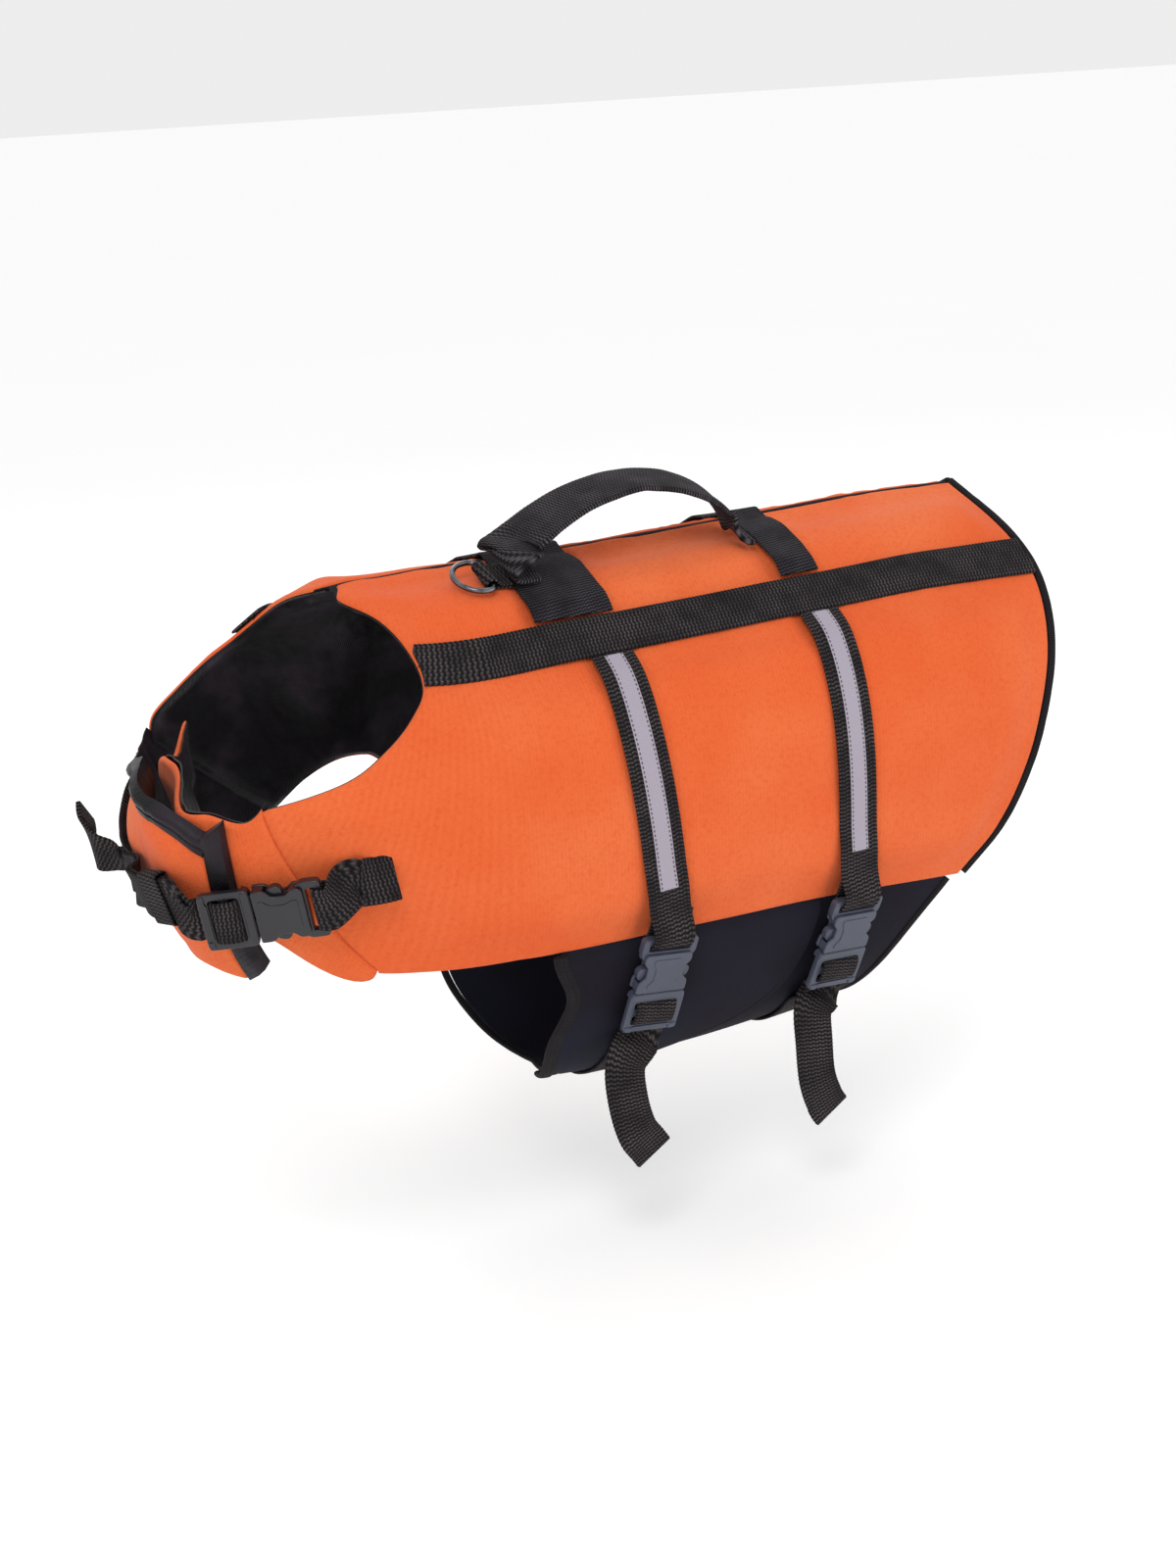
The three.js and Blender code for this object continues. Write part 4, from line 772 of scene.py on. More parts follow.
for side, word in bothSides:
    paddedPanel("back_panel_" + word, side, backEdges(side, 2.6, 0.8), backFoam, 240, 42, 410, 80,
                dents(backCreases[side]))
    paddedPanel("side_panel_" + word, side, sideEdges(side, 1.0), sideFoam, 190, 84, 390, 165,
                dents(sideCreases[side]))
print("padded panels sewn")

# Chest flaps
flapCut = {
    left: {"neck": [(-109, -207), (-85, -215), (-66, -220), (-22, -224), (30, -224), (70, -216), (96, -209),
                    (116, -212)],
           "low": [(-112, -166), (-89, -184), (-45, -192), (10, -197), (65, -200), (104, -199)]},
    right: {"neck": [(-109, -207), (-92, -209), (-72, -213), (-50, -218), (-20, -225), (20, -231), (50, -226),
                     (72, -211)],
            "low": [(-112, -166), (-89, -178), (-45, -185), (10, -188), (40, -188), (62, -184)]},
    "overLift": 8.5, "gap": 0.9, "nearSink": 27, "neckLean": 11, "rim": 6, "edge": 3.5, "full": 6.5,
}


def flapLift(side, q, s, t):
    if side < 0:
        return -flapCut["nearSink"] * smooth((q + 70) / 80)
    lean = flapCut["neckLean"] * smooth(s / 0.2) * (1 - smooth(q / 42)) * (1 - smooth(t / 0.5))
    return flapCut["gap"] + flapCut["overLift"] * smooth((q + 10) / 60) - lean


def flapEdges(side):
    neck, low = flapCut[side]["neck"], flapCut[side]["low"]
    lowDown = float(lowerDown(side, cut["chestLowX"]))

    def flapEdge(rows, seam, seamDown):
        def place(s):
            q = mix(seamDown - float(halfGirth(seam)), rows[-1][0], s)
            x = mix(seam, along(rows, 1, q), smooth(s / 0.15))
            return x, halfGirth(x) + q
        return place

    neckPlace = flapEdge(neck, cut["chestNeckX"], cut["chestDown"])
    lowPlace = flapEdge(low, cut["chestLowX"], lowDown)

    def rear(t):
        neckEnd, lowEnd = neckPlace(np.array(1.0)), lowPlace(np.array(1.0))
        x = mix(neckEnd[0], lowEnd[0], t)
        q = mix(neckEnd[1] - halfGirth(neckEnd[0]), lowEnd[1] - halfGirth(lowEnd[0]), t)
        return x, halfGirth(x) + q

    return {
        "top": neckPlace, "bottom": lowPlace, "rear": rear,
        "front": lambda t: (mix(cut["chestNeckX"], cut["chestLowX"], t) - cut["gap"],
                            mix(cut["chestDown"], lowDown, t) + cut["gap"]),
    }


def chestFlap(side, word):
    edges = flapEdges(side)
    s, t = crowded(92, 185) * 1.008 - 0.008, crowded(26, 42)  # tucked a little into the seam
    x, down = patchPlaces(edges, s, t)
    q = down - halfGirth(x)
    lift = flapLift(side, q, s[:, None], t[None, :])
    base = raised(side, x, down, cut["foamInner"] + lift)
    toEdges = edgeDistances(base)
    nearest, toRear = toEdges.min(axis=0), toEdges[1]
    roll = rolled(nearest, 3.0)
    seed = 41 if side < 0 else 57
    sGrid, tGrid = np.broadcast_arrays(s[:, None], t[None, :])
    thick = mix(flapCut["edge"], flapCut["full"], puff(tGrid, 0, .25) * puff(1 - tGrid, 0, .25)
                * puff(1 - sGrid, 0, .12) * puff(sGrid, 0, .1))
    thick = thick + smooth(nearest / 3) * (0.7 * ripple(q, x, seed, 24) + 0.35 * ripple(q, x, seed + 1, 11))
    thick = thick + 0.8 * np.exp(-toRear / 8) * smooth(toRear / 3) * wander(x, seed + 2, 6)
    outer = raised(side, x, down, cut["foamInner"] + 0.35 + (thick - 0.35) * roll + lift)
    piece = closedSheet("chest_flap_" + word, base, outer, np.stack([q, x], -1))
    dress(piece, "orange")


for side, word in bothSides:
    chestFlap(side, word)
print("chest flaps sewn")

# Linings
liningLook = {"thick": 1.0, "gather": 3.6, "fold": 4.6, "facing": 3.0, "endRim": 12.0}


def gathered(side, x, down, toFront):  # soft folds of the lining, towards the wearer
    seed = 71 if side < 0 else 83
    front = np.exp(-np.maximum(toFront, 0) / 26)
    folds = 0.55 * ripple(x, down * 0.35, seed, 17) + 0.45 * ripple(x * 0.7, down, seed + 1, 30)
    pleats = wander(down, seed + 3, 8) * front
    return liningLook["gather"] * (0.5 + 0.5 * folds) + liningLook["fold"] * (0.5 + 0.5 * pleats) * front


def bodyLining(side, word):
    back, flank = backEdges(side), sideEdges(side)
    s = crowded(150, 410, 2)
    x1, down1 = patchPlaces(back, s, np.linspace(0, 1, 34))
    x2, down2 = patchPlaces(flank, s, np.linspace(0, 1, 78))
    spineX = (back["top"](s[:, None])[0] - 2 * s[:, None])
    x = np.concatenate([spineX, x1, x2], axis=1)
    down = np.concatenate([np.full(spineX.shape, cut["gap"]), down1, down2], axis=1)
    flat = raised(side, x, down, np.zeros(x.shape))
    toEdges = edgeDistances(flat)
    drop = gathered(side, x, down, toEdges[0]) * smooth(toEdges.min(axis=0) / 7)
    inner, outer = raised(side, x, down, -drop), raised(side, x, down, liningLook["thick"] - drop)
    return closedSheet("lining_" + word, outer, inner, np.stack([x, down], -1), 60)


def flapLining(side, word):
    edges = flapEdges(side)
    seed = 91 if side < 0 else 97
    if side < 0:
        s, t = np.linspace(-0.025, 1, 92), np.linspace(0, 1, 24)
    else:
        s = np.concatenate([np.linspace(-0.025, 1, 150), 1 + np.array([.3, 3, 7, 10.5, 12]) / 180])
        beyond = -np.array([6, 5.4, 4, 2, .3]) / 42
        t = np.concatenate([beyond, np.linspace(0, .22, 14), np.linspace(.24, 1, 22)])
    x, down = patchPlaces(edges, s, t)
    q = down - halfGirth(x)
    lift = flapLift(side, q, s[:, None], t[None, :])
    sGrid, tGrid = np.broadcast_arrays(s[:, None], t[None, :])
    flat = raised(side, x, down, lift + 0 * x)
    inside = smooth(edgeDistances(flat)[[0, 1, 3]].min(axis=0) / 6)
    gathers = 1.3 * (0.5 + 0.5 * wander(q, seed, 5.5)) + 0.9 * (0.5 + 0.5 * ripple(q, x, seed + 1, 13))
    gathers = gathers * inside
    thick = np.full(x.shape, liningLook["thick"])
    if side > 0:  # the lining turns out past the top and the end as a gathered rim
        beyondEnd, beyondTop = (sGrid - 1) * 180, -tGrid * 42
        past = np.maximum(beyondEnd, np.where(sGrid > 0.3, beyondTop, -1))
        spare = np.where(beyondEnd > 0, liningLook["endRim"] - beyondEnd, flapCut["rim"] - beyondTop)
        turned = rolled(np.clip(spare, 0, 3), 3.0)
        pleats = 0.5 * wander(q + x * 0.4, seed + 4, 3.4) + 0.5 * wander(q, seed + 5, 7)
        tall = cut["foamInner"] + flapCut["edge"] + 0.7 + 1.3 * pleats
        rim = liningLook["thick"] + (tall - liningLook["thick"]) * smooth(past / 0.4) * turned
        thick = np.where(past > 0.1, rim, thick)
        gathers = gathers + np.where(past > 0, 0.4 * (0.5 + 0.5 * pleats), 0)
        # and back over the cloth along the neck as a facing
        over = liningLook["facing"] * smooth((sGrid - 0.28) / 0.2) * (1 + 0.12 * wander(q, seed + 6, 14))
        cloth = mix(flapCut["edge"], flapCut["full"], puff(tGrid, 0, .25) * puff(1 - sGrid, 0, .12))
        reach = over - tGrid * 42
        facing = cut["foamInner"] + cloth + (0.9 + 1.0 * pleats) * rolled(np.clip(reach, 0, 2), 2.0)
        thick = np.where((reach > 0) & (past <= 0.1) & (over > 1), facing, thick)
    inner = raised(side, x, down, lift - gathers)
    outer = raised(side, x, down, lift + thick - np.where(thick > liningLook["thick"], 0, gathers))
    return closedSheet("chest_lining_" + word, outer, inner, np.stack([q, x], -1), 60)


for side, word in bothSides:
    for piece in (bodyLining(side, word), flapLining(side, word)):
        dress(piece, "lining")
print("linings gathered in")

# Strip along the spine
s = crowded(190, 410, 2)
lanes = np.linspace(-1, 1, 15) * (cut["stripHalf"] - cut["gap"])
lean = (lanes / cut["stripHalf"] + 1) / 2
spineX = mix(backEdges(left)["top"](s[:, None])[0], backEdges(right)["top"](s[:, None])[0], lean[None, :])
spineX = spineX - s[:, None] * (1 - np.abs(lanes)[None, :] / cut["stripHalf"])
spineSide = np.where(lanes < 0, -1.0, 1.0)[None, :] + 0 * spineX
spineDown = np.abs(lanes)[None, :] + 0 * spineX
gathers = 0.5 * wander(spineX + 3 * np.sign(lanes)[None, :], 101, 6) * (np.abs(lanes)[None, :] / 13) ** 2
crown = 1.1 + 0.4 * gathers - 0.5 * (np.abs(lanes)[None, :] / 13) ** 8
spineBase = raised(spineSide, spineX, spineDown, cut["foamInner"] + 0 * spineX)
spineTop = raised(spineSide, spineX, spineDown, cut["foamInner"] + crown)
spine = closedSheet("spine_strip", spineBase, spineTop, np.stack([spineX, lanes[None, :] + 0 * spineX], -1))
dress(spine, "spine")

# Webbing over the side seams
longWeb = {"base": cut["foamInner"] + cut["foamEdge"] + cut["clearance"] + 0.2, "overhang": 0.5}
for side, word in bothSides:
    top, low = cut["seamDown"] - cut["webWide"] / 2, cut["seamDown"] + cut["webWide"] / 2
    frontX = lambda down: neckX(side, down) - longWeb["overhang"] + 3.5 * smooth((top + 6 - down) / 8)
    edges = {
        "top": lambda s: (mix(frontX(top), rearX(top) - .3, s), top + 0 * s),
        "bottom": lambda s: (mix(frontX(low), rearX(low) - .3, s), low + 0 * s),
        "front": edgeDown(frontX, top, low), "rear": edgeDown(lambda down: rearX(down) - .3, top, low),
    }
    s, t = np.linspace(0, 1, 330), np.concatenate([[0, .01, .03], np.linspace(.06, .94, 12), [.97, .99, 1]])
    x, down = patchPlaces(edges, s, t)
    notch = np.where(np.arange(len(s)) % 2 == 0, 0.14, -0.14)[:, None]
    down = down + notch * (np.where(t < .02, -1, 0) + np.where(t > .98, 1, 0))
    sway = 0.5 * wander(x, 111 if side < 0 else 117, 34) + 0.35 * trough(x, bands["front"][0], 26) * 1.5
    edge = rolled(np.minimum(t, 1 - t)[None, :] * cut["webWide"] + 0 * x, 0.9)
    base = raised(side, x, down, longWeb["base"] + sway)
    outer = raised(side, x, down, longWeb["base"] + sway + 0.5 + (cut["webThick"] - 0.5) * edge)
    piece = closedSheet("long_webbing_" + word, base, outer, np.stack([x, down - cut["seamDown"]], -1), 60)
    dress(piece, "web")
print("spine strip and long webbing sewn on")


# Bindings
def beadRibbon(name, side, downs, xAt, base, wide, tall):
    points = raised(side, xAt, downs, base)
    across = unit(figurePoint(side, xAt + 1, downs) - figurePoint(side, xAt - 1, downs)) * (-side)
    piece = ribbon(name, points, across, wide, tall, 1.6, serrated=0,
                   shape=lambda flat, mark, whole: roundSection(wide, tall, mark, name))
    return dress(piece, "binding")


def roundSection(wide, tall, mark, name):
    turn = np.linspace(-np.pi, np.pi, len(webSection(wide, tall)), endpoint=False)
    swell = 1 + 0.05 * wander(mark, len(name), 7)
    return np.stack([wide / 2 * np.sign(np.cos(turn)) * np.abs(np.cos(turn)) ** .7,
                     tall / 2 + tall / 2 * swell * np.sign(np.sin(turn)) * np.abs(np.sin(turn)) ** .8], -1)


bindLook = {"wide": 5.0, "tall": 4.6, "tuck": 3.5}
bellyFrontX = lambda down: along(cut["leg"], 1, down)
foldAt = lambda x, down: np.where(down > halfGirth(x), 2 * halfGirth(x) - down, down)
foldFrontX = lambda down: bellyFrontX(foldAt(-88, down))
foldRearX = lambda down: rearX(foldAt(98, down)) - cut["clearance"]
rightStart = lambda x: lowerDown(right, x) - bindLook["tuck"]
rightEnd = lambda x: (
    2 * halfGirth(x) - lowerDown(left, x) + bindLook["tuck"] - 26 * (1 - smooth((x + 20) / 50)))
frontDowns = (float(rightStart(-118)), float(rightEnd(-110)))
rearDowns = (float(rightStart(rearCornerX)), float(rightEnd(rearCornerX)))
for side, word in bothSides:
    downs = even(60, cut["gap"], float(lowerDown(side, rearCornerX)))
    beadX = rearX(downs) + cut["clearance"] + bindLook["wide"] / 2
    beadRibbon("rear_binding_" + word, side, downs, beadX, 0.2, bindLook["wide"], bindLook["tall"])


# Belly
bellyLook = {"thick": 2.6, "nearInner": 3.2}
leftRear = [(200, 48), (257, 46), (302, 37), (322, 26), (338, 8), (347, -12)]
leftEnd = [(-120, 392), (-90, 386), (-50, 368), (-12, 348)]
leftFlapRearX = lambda down: along(leftRear, 1, down)
leftFlapEndDown = lambda x: along(leftEnd, 1, x)


def bellyGrid(name, side, edges, s, t, low, thick, seed):
    x, down = patchPlaces(edges, s, t)
    base = raised(side, x, down, low + 0 * x)
    toEdges = edgeDistances(base)
    nearest = toEdges.min(axis=0)
    low = mix(0.2, low, smooth((toEdges[2] - 3) / 8))  # the sewn edge lies under the panel
    soft = 0.8 * ripple(x, down, seed, 52) * smooth(nearest / 12)
    edge = rolled(nearest, 1.4)
    seam = -0.45 * trough(nearest, 6.5, 0.9)
    under = raised(side, x, down, low + np.maximum(soft, -low) * 0.5)
    outer = raised(side, x, down, low + np.maximum(soft, -low) * 0.5 + 0.6 + (thick - 0.6) * edge + seam)
    piece = closedSheet(name, under, outer, np.stack([x, down], -1), 50)
    return dress(piece, "belly")


def bellyRightEdges():
    startX = lambda s: mix(foldFrontX(frontDowns[0]), foldRearX(rearDowns[0]), s)
    endX = lambda s: mix(foldFrontX(frontDowns[1]), foldRearX(rearDowns[1]), s)
    zero, one = np.array(0.0), np.array(1.0)

    def crossing(x, line, row):  # keeps the cut line's shape and meets both corners
        front, rear = frontDowns[row] - line(x(zero)), rearDowns[row] - line(x(one))
        return lambda s: (x(s), line(x(s)) + mix(front, rear, s))

    return {"top": crossing(startX, rightStart, 0), "bottom": crossing(endX, rightEnd, 1),
            "front": edgeDown(foldFrontX, *frontDowns), "rear": edgeDown(foldRearX, *rearDowns)}


def bellyLeftEdges():
    frontX, rearXEnd = float(bellyFrontX(388)), float(leftFlapRearX(347))
    frontLow, rearLow = (frontX, float(leftFlapEndDown(frontX))), (rearXEnd, float(leftFlapEndDown(rearXEnd)))
    startX = lambda s: mix(float(bellyFrontX(222)), float(leftFlapRearX(222)), s)
    startDown = lambda x: lowerDown(left, x) - bindLook["tuck"]

    def sideAt(edge, low):
        return edgeDown(edge, float(startDown(float(edge(222)))), low)

    def bottom(s):
        x = mix(frontLow[0], rearLow[0], s)
        return x, leftFlapEndDown(x)

    return {"top": lambda s: (startX(s), startDown(startX(s))), "bottom": bottom,
            "front": sideAt(bellyFrontX, frontLow[1]), "rear": sideAt(leftFlapRearX, rearLow[1])}


farBelly = bellyGrid("belly_flap_right", right, bellyRightEdges(), crowded(90, 230), crowded(150, 400),
                     0.2, 2.4, 121)
nearBelly = bellyGrid("belly_flap_left", left, bellyLeftEdges(), crowded(74, 150), crowded(70, 150),
                      bellyLook["nearInner"], bellyLook["thick"], 127)
downs = mix(float(lowerDown(left, -118)) + 2, float(leftFlapEndDown(-96)), even(50))
beadRibbon("leg_binding_left", left, downs, bellyFrontX(downs) - 1.6, 3.2, 8.5, 3.6)
rows = mix(frontDowns[0], frontDowns[1], even(18))[:15]
downs = np.linspace(rows[0] + 4, rows[-1], 80)
beadRibbon("leg_binding_right", right, downs, foldFrontX(downs) - 3.05, -0.3, 4.6, 2.9)
downs = np.linspace(rearDowns[0] + 4, rearDowns[1] - 4, 110)
beadRibbon("belly_binding", right, downs, foldRearX(downs) + 3.3, 0, bindLook["wide"], 3.6)
print("belly flaps and bindings sewn")


# How high a strap lies
strapGap = 0.7


def clothHeight(side, x, down):
    ownSide, ownDown = folded(side, down, halfGirth(x))
    under = ((ownSide < 0) & (x < leftFlapRearX(ownDown) + 14) & (ownDown < leftFlapEndDown(x) + 4))
    height = np.where(under, bellyLook["nearInner"] + bellyLook["thick"], bellyLook["thick"] + 0.2)
    inner, onFlap = cut["foamInner"], (ownDown > cut["chestDown"]) & (x < seamX(ownSide, ownDown))
    height = np.where(ownDown < lowerDown(ownSide, x), inner + sideFoam(ownSide, x, ownDown), height)
    height = np.where(onFlap, inner + flapCut["full"], height)
    height = np.where(ownDown < cut["seamDown"], inner + backFoam(ownSide, x, ownDown), height)
    return np.where(ownDown < cut["stripHalf"], inner + cut["foamEdge"], height)


def bridged(side, x, down, reach):
    best = 0
    for shift in np.linspace(-reach, reach, 9):
        for sideways in (-10, 0, 10):
            best = np.maximum(best, clothHeight(side, x + sideways, np.abs(down + shift)))
    return best + strapGap


def sideAcross(side, x, down):
    ownSide, own = folded(side, down, halfGirth(x))
    ahead = figurePoint(ownSide, x + 1, own) - figurePoint(ownSide, x - 1, own)
    return unit(ahead) * (1 if side < 0 else -1)


# Buckles
buckleLook = {"length": 64, "bevel": 0.55}


def flatPart(name, outline, holes, low, high, bevel):
    curve = bpy.data.curves.new(name, "CURVE")
    curve.dimensions, curve.fill_mode = "2D", "BOTH"
    curve.bevel_depth, curve.bevel_resolution, curve.offset = bevel, 2, -bevel
    curve.extrude = (high - low) / 2 - bevel
    for loop in (outline, *holes):
        spline = curve.splines.new("POLY")
        spline.points.add(len(loop) - 1)
        for point, (x, y) in zip(spline.points, loop):
            point.co = (x, y, 0, 1)
        spline.use_cyclic_u = True
    thing = placed(name, curve)
    bpy.context.view_layer.update()
    mesh = bpy.data.meshes.new_from_object(thing.evaluated_get(bpy.context.evaluated_depsgraph_get()))
    bpy.data.objects.remove(thing)
    mesh.transform(Matrix.Translation((0, 0, (low + high) / 2)))
    return mesh


def mirroredLoop(half):
    return [*half, *[(-x, y) for x, y in half[::-1] if x > 0]]


def softened(loop, cutBack=0.9, rounds=2):  # rounds the corners of an outline
    points = [np.array(p, float) for p in loop]
    for _ in range(rounds):
        nextLoop = []
        for n, point in enumerate(points):
            before, after = points[n - 1], points[(n + 1) % len(points)]
            for other in (before, after):
                reach = np.linalg.norm(other - point)
                nextLoop.append(point + (other - point) * min(cutBack / max(reach, 1e-6), 0.3))
        points, cutBack = nextLoop, cutBack * 0.4
    return [tuple(p) for p in points]


def slotLoop(low, high, half=13.0):
    return softened([(-half, low), (-half, high), (half, high), (half, low)], 0.8)


latch = [(13, 9.5), (14.6, 11), (14.6, 15.2), (11.5, 18.6), (11.5, 25.4), (15, 28.6), (15.5, 31), (15.5, 36)]
socketParts = [
    # half outline, slots, low, high
    ([(14.2, 0), (16.4, 0.6), (17, 2.4), (17, 9.6), (15.6, 12.6), (13.6, 13.4)], [(3.6, 8.2)], 2.0, 7.0),
    (latch, [], 7.2, 9.0),
    (latch, [], 0.0, 1.9),
    ([(13, 9.9), (14.2, 11.4), (14.2, 15), (11, 18.4), (11, 35.2)], [], 1.5, 7.6),
    ([(14.9, 29.6), (15.1, 35.6), (13, 35.6), (13, 30)], "corner", 1.5, 7.6),
    ([(8.5, 12.8), (8.5, 15.6), (6.6, 19.6), (6.6, 27), (9.6, 30.8), (9.6, 33.4)], [], 8.6, 9.45),
]
prongParts = [
    ([(16.0, 21.8), (16.3, 23.6), (15.7, 26.4), (14.2, 28.2), (12, 28.6), (12.3, 36.6), (16, 37.8), (17, 41),
      (2.5, 41), (2.5, 34), (6.5, 34), (7, 25), (8.6, 20.8), (11.6, 19.8), (14.4, 20.2)], "pair", 2.3, 6.7),
    ([(14, 36.8), (16.4, 37.6), (17, 41), (17, 61.4), (16.2, 63.4), (14.6, 64)],
     [(43, 48), (52.6, 58.6)], 4.6, 8.4),
    ([(15.2, 37.2), (16.4, 38.2), (16.4, 40.8), (15, 41.6)], [], 4.2, 8.9),
    ([(15.4, 60), (16.5, 60.6), (16.3, 63), (14.6, 63.6), (11.5, 63.6), (11.5, 60)], [], 6.5, 9.2),
]


def joinMeshes(meshes):
    points, faces, start = [], [], 0
    for mesh in meshes:
        points += [tuple(v.co) for v in mesh.vertices]
        faces += [[start + i for i in p.vertices] for p in mesh.polygons]
        start += len(mesh.vertices)
        bpy.data.meshes.remove(mesh)
    return np.array(points), faces


def buckleHalf(name, parts, frameAxes, look):
    meshes, bevel = [], buckleLook["bevel"]
    for half, slots, low, high in parts:
        if slots in ("corner", "pair"):
            for sign in (1, -1):
                loop = [(sign * x, y) for x, y in half]
                meshes.append(flatPart(name, softened(loop[::sign], 0.5), [], low, high, bevel * 0.8))
            continue
        holes = [slotLoop(a, b) for a, b in slots]
        outline = softened(mirroredLoop(half), 0.7)
        meshes.append(flatPart(name, outline, holes, low, high, min(bevel, (high - low) * 0.3)))
    points, faces = joinMeshes(meshes)
    origin, x, y, z = frameAxes
    world = origin + points[:, :1] * x + points[:, 1:2] * y + points[:, 2:] * z
    piece = finishMesh(name, world, faces, points[:, :2], 34.0)
    return dress(piece, look)


def buckleFrame(start, end, out):
    y = unit(end - start)
    z = unit(out - y * np.dot(out, y))
    return start, np.cross(y, z), y, z


def inFrame(axes, y, z, x=0.0):
    return axes[0] + axes[1] * x + axes[2] * y + axes[3] * z


def throughFrame(axes, loop):
    return [inFrame(axes, y, z) for y, z in loop]


def webStrap(name, points, across, hems=()):  # a run of the narrow webbing
    return dress(ribbon(name, points, across, cut["webWide"], cut["webThick"], hems=hems), "web")


socketLoop = [(-3, 7.7), (3.1, 7.7), (4.1, 6.9), (4.1, 1.9), (2.4, .8), (-3, .8), (-15, .6)]
ladderLoop = [(72, .2), (60, .2), (50, .2), (45.5, .2), (43.4, 2), (43.3, 8.9), (45, 10.6), (56, 10.6),
              (57.9, 9.2), (57.9, 5), (58.9, 4), (64, 3.95), (70, 3.9)]

# Girth straps
girthTails = {
    "front": [(-9, 4, 6), (-15, 6, 15), (-15, 8, 37), (-10, 8, 56), (-3, 6, 66), (1, 5, 72)],
    "rear": [(-7, 3, 4), (-11, 5, 10), (-12, 7, 27), (-11, 8, 52), (-4, 6, 70), (0, 5, 76)],
}
strapSink = 0.9
for name in ("front", "rear"):
    line = strapLines[name]
    lowDown = float(lowerDown(left, line["lowX"]))
    startDown, endDown = lowDown - 4, lowDown - 4 + buckleLook["length"]
    axes = buckleFrame(
        raised(left, line["lowX"], startDown, bridged(left, line["lowX"], startDown, 14) + 1.6),
        raised(left, line["endX"], endDown, bridged(left, line["endX"], endDown, 14) + 3.4),
        figureNormal(left, line["lowX"], startDown + 32))
    buckleHalf("girth_buckle_" + name + "_socket", socketParts, axes, "grey")
    buckleHalf("girth_buckle_" + name + "_prongs", prongParts, axes, "grey")
    nearDowns = mix(strapLines["strapTop"], startDown - 14, even(11))
    nearX = strapX(name, nearDowns)
    nearLevel = bridged(left, nearX, nearDowns, 9) + 3 * smooth((nearDowns - startDown + 40) / 30)
    sink = strapSink * (1 - smooth((nearDowns - startDown + 50) / 30))
    points = [*raised(left, nearX, nearDowns, nearLevel - sink), *throughFrame(axes, socketLoop)]
    across = [*sideAcross(left, nearX, nearDowns), *[-axes[1]] * len(socketLoop)]
    webStrap("girth_strap_left_" + name, points, across)

    turn = float(halfGirth(line["lowX"]))
    farDowns = mix(strapLines["strapTop"], 2 * turn - endDown - 20, even(26))
    farX = np.where(farDowns < lowDown, strapX(name, farDowns),
                    mix(line["lowX"], line["endX"], smooth((farDowns - lowDown) / 200)))
    farLevel = bridged(right, farX, farDowns, 12)
    farSink = strapSink * (1 - smooth((farDowns - lowDown + 30) / 30))
    exitPoint = inFrame(axes, 70, 3.9)
    tail = [exitPoint + np.array([back, -out, -fall]) for back, out, fall in girthTails[name]]
    points = [*raised(right, farX, farDowns, farLevel - farSink), *throughFrame(axes, ladderLoop), *tail]
    across = [*sideAcross(right, farX, farDowns), *[axes[1]] * len(ladderLoop)]
    across += [np.array([-.96, 0, -.28])] * len(tail)
    webStrap("girth_strap_right_" + name, points, across, [("end", 12, 0.75)])

    for side, word, downs, level in ((left, "left", nearDowns, nearLevel - sink),
                                     (right, "right", farDowns, farLevel - farSink)):
        keep = downs < lowDown - 24
        downs, level = downs[keep].copy(), level[keep]
        downs[0] += 1
        x = strapX(name, downs)
        points = raised(side, x, downs, level + cut["webThick"] + 0.12)
        title = "reflective_" + word + "_" + name
        dress(ribbon(title, points, sideAcross(side, x, downs), 11, 0.5, 2.0, serrated=0), "tape")
print("girth straps threaded")


# Bands across the back
def crossBand(name, middle, wide):
    lanes = mix(-bands["reach"], bands["reach"], even(40))
    sides = np.where(lanes < 0, -1.0, 1.0)
    height = np.array([float(bridged(s, middle, abs(d), 9)) for s, d in zip(sides, lanes)]) - strapSink
    points = raised(sides, middle + 0 * lanes, np.abs(lanes), height)
    across = np.tile([-1.0, 0, 0], (len(lanes), 1))

    def crumple(flat, mark, whole):
        flat = flat.copy()
        reach = np.abs(mark - whole / 2)
        lane = mark + 0 * flat[:, 0]
        flat[:, 1] += 0.55 * ripple(flat[:, 0], lane, 131, 11) + 0.35 * smooth((14 - reach) / 8)
        flat[:, 1] += 0.6 * wander(lane, 133, 5.5) * smooth((30 - reach) / 16)
        return flat

    return dress(ribbon(name, points, across, wide, cut["webThick"], 1.3, shape=crumple), "band")


crossBand("front_band", *bands["front"])
crossBand("rear_band", *bands["rear"])

# Chest strap
chest = {"sewn": (-170, -164), "socket": (-182, -127), "ladder": (-198, -64), "farEnd": (-190, -150),
         "keeper": (28, 54), "overFlap": 21.6}
chestPoint = lambda side, x, q, height: raised(side, x, float(halfGirth(x)) + q, height)


def settledFrame(start, end, out):
    axes = buckleFrame(start, end, out)
    rise = 0.0
    for q in np.arange(chest["socket"][1] - 6, chest["ladder"][1] + 4.1, 4):
        for shift in (-17, -8, 0, 8, 17):
            share = (q - chest["socket"][1]) / buckleLook["length"]
            x = mix(chest["socket"][0], chest["ladder"][0], share) + shift
            covered = q > -76 and -214 < x < -182
            over = flapCut["overLift"] + flapCut["gap"] if covered else 0
            level = cut["foamInner"] + flapCut["full"] + over
            local = chestPoint(left, x, q, level) - axes[0]
            y = float(np.dot(local, axes[2]))
            floor = 2.0 if y < 9 else 4.6 if y > 38 else 0.0
            if -1 < y < 65:
                rise = max(rise, float(np.dot(local, axes[3])) - floor)
    lift = axes[3] * (rise + strapGap)
    return buckleFrame(start + lift, end + lift, out)


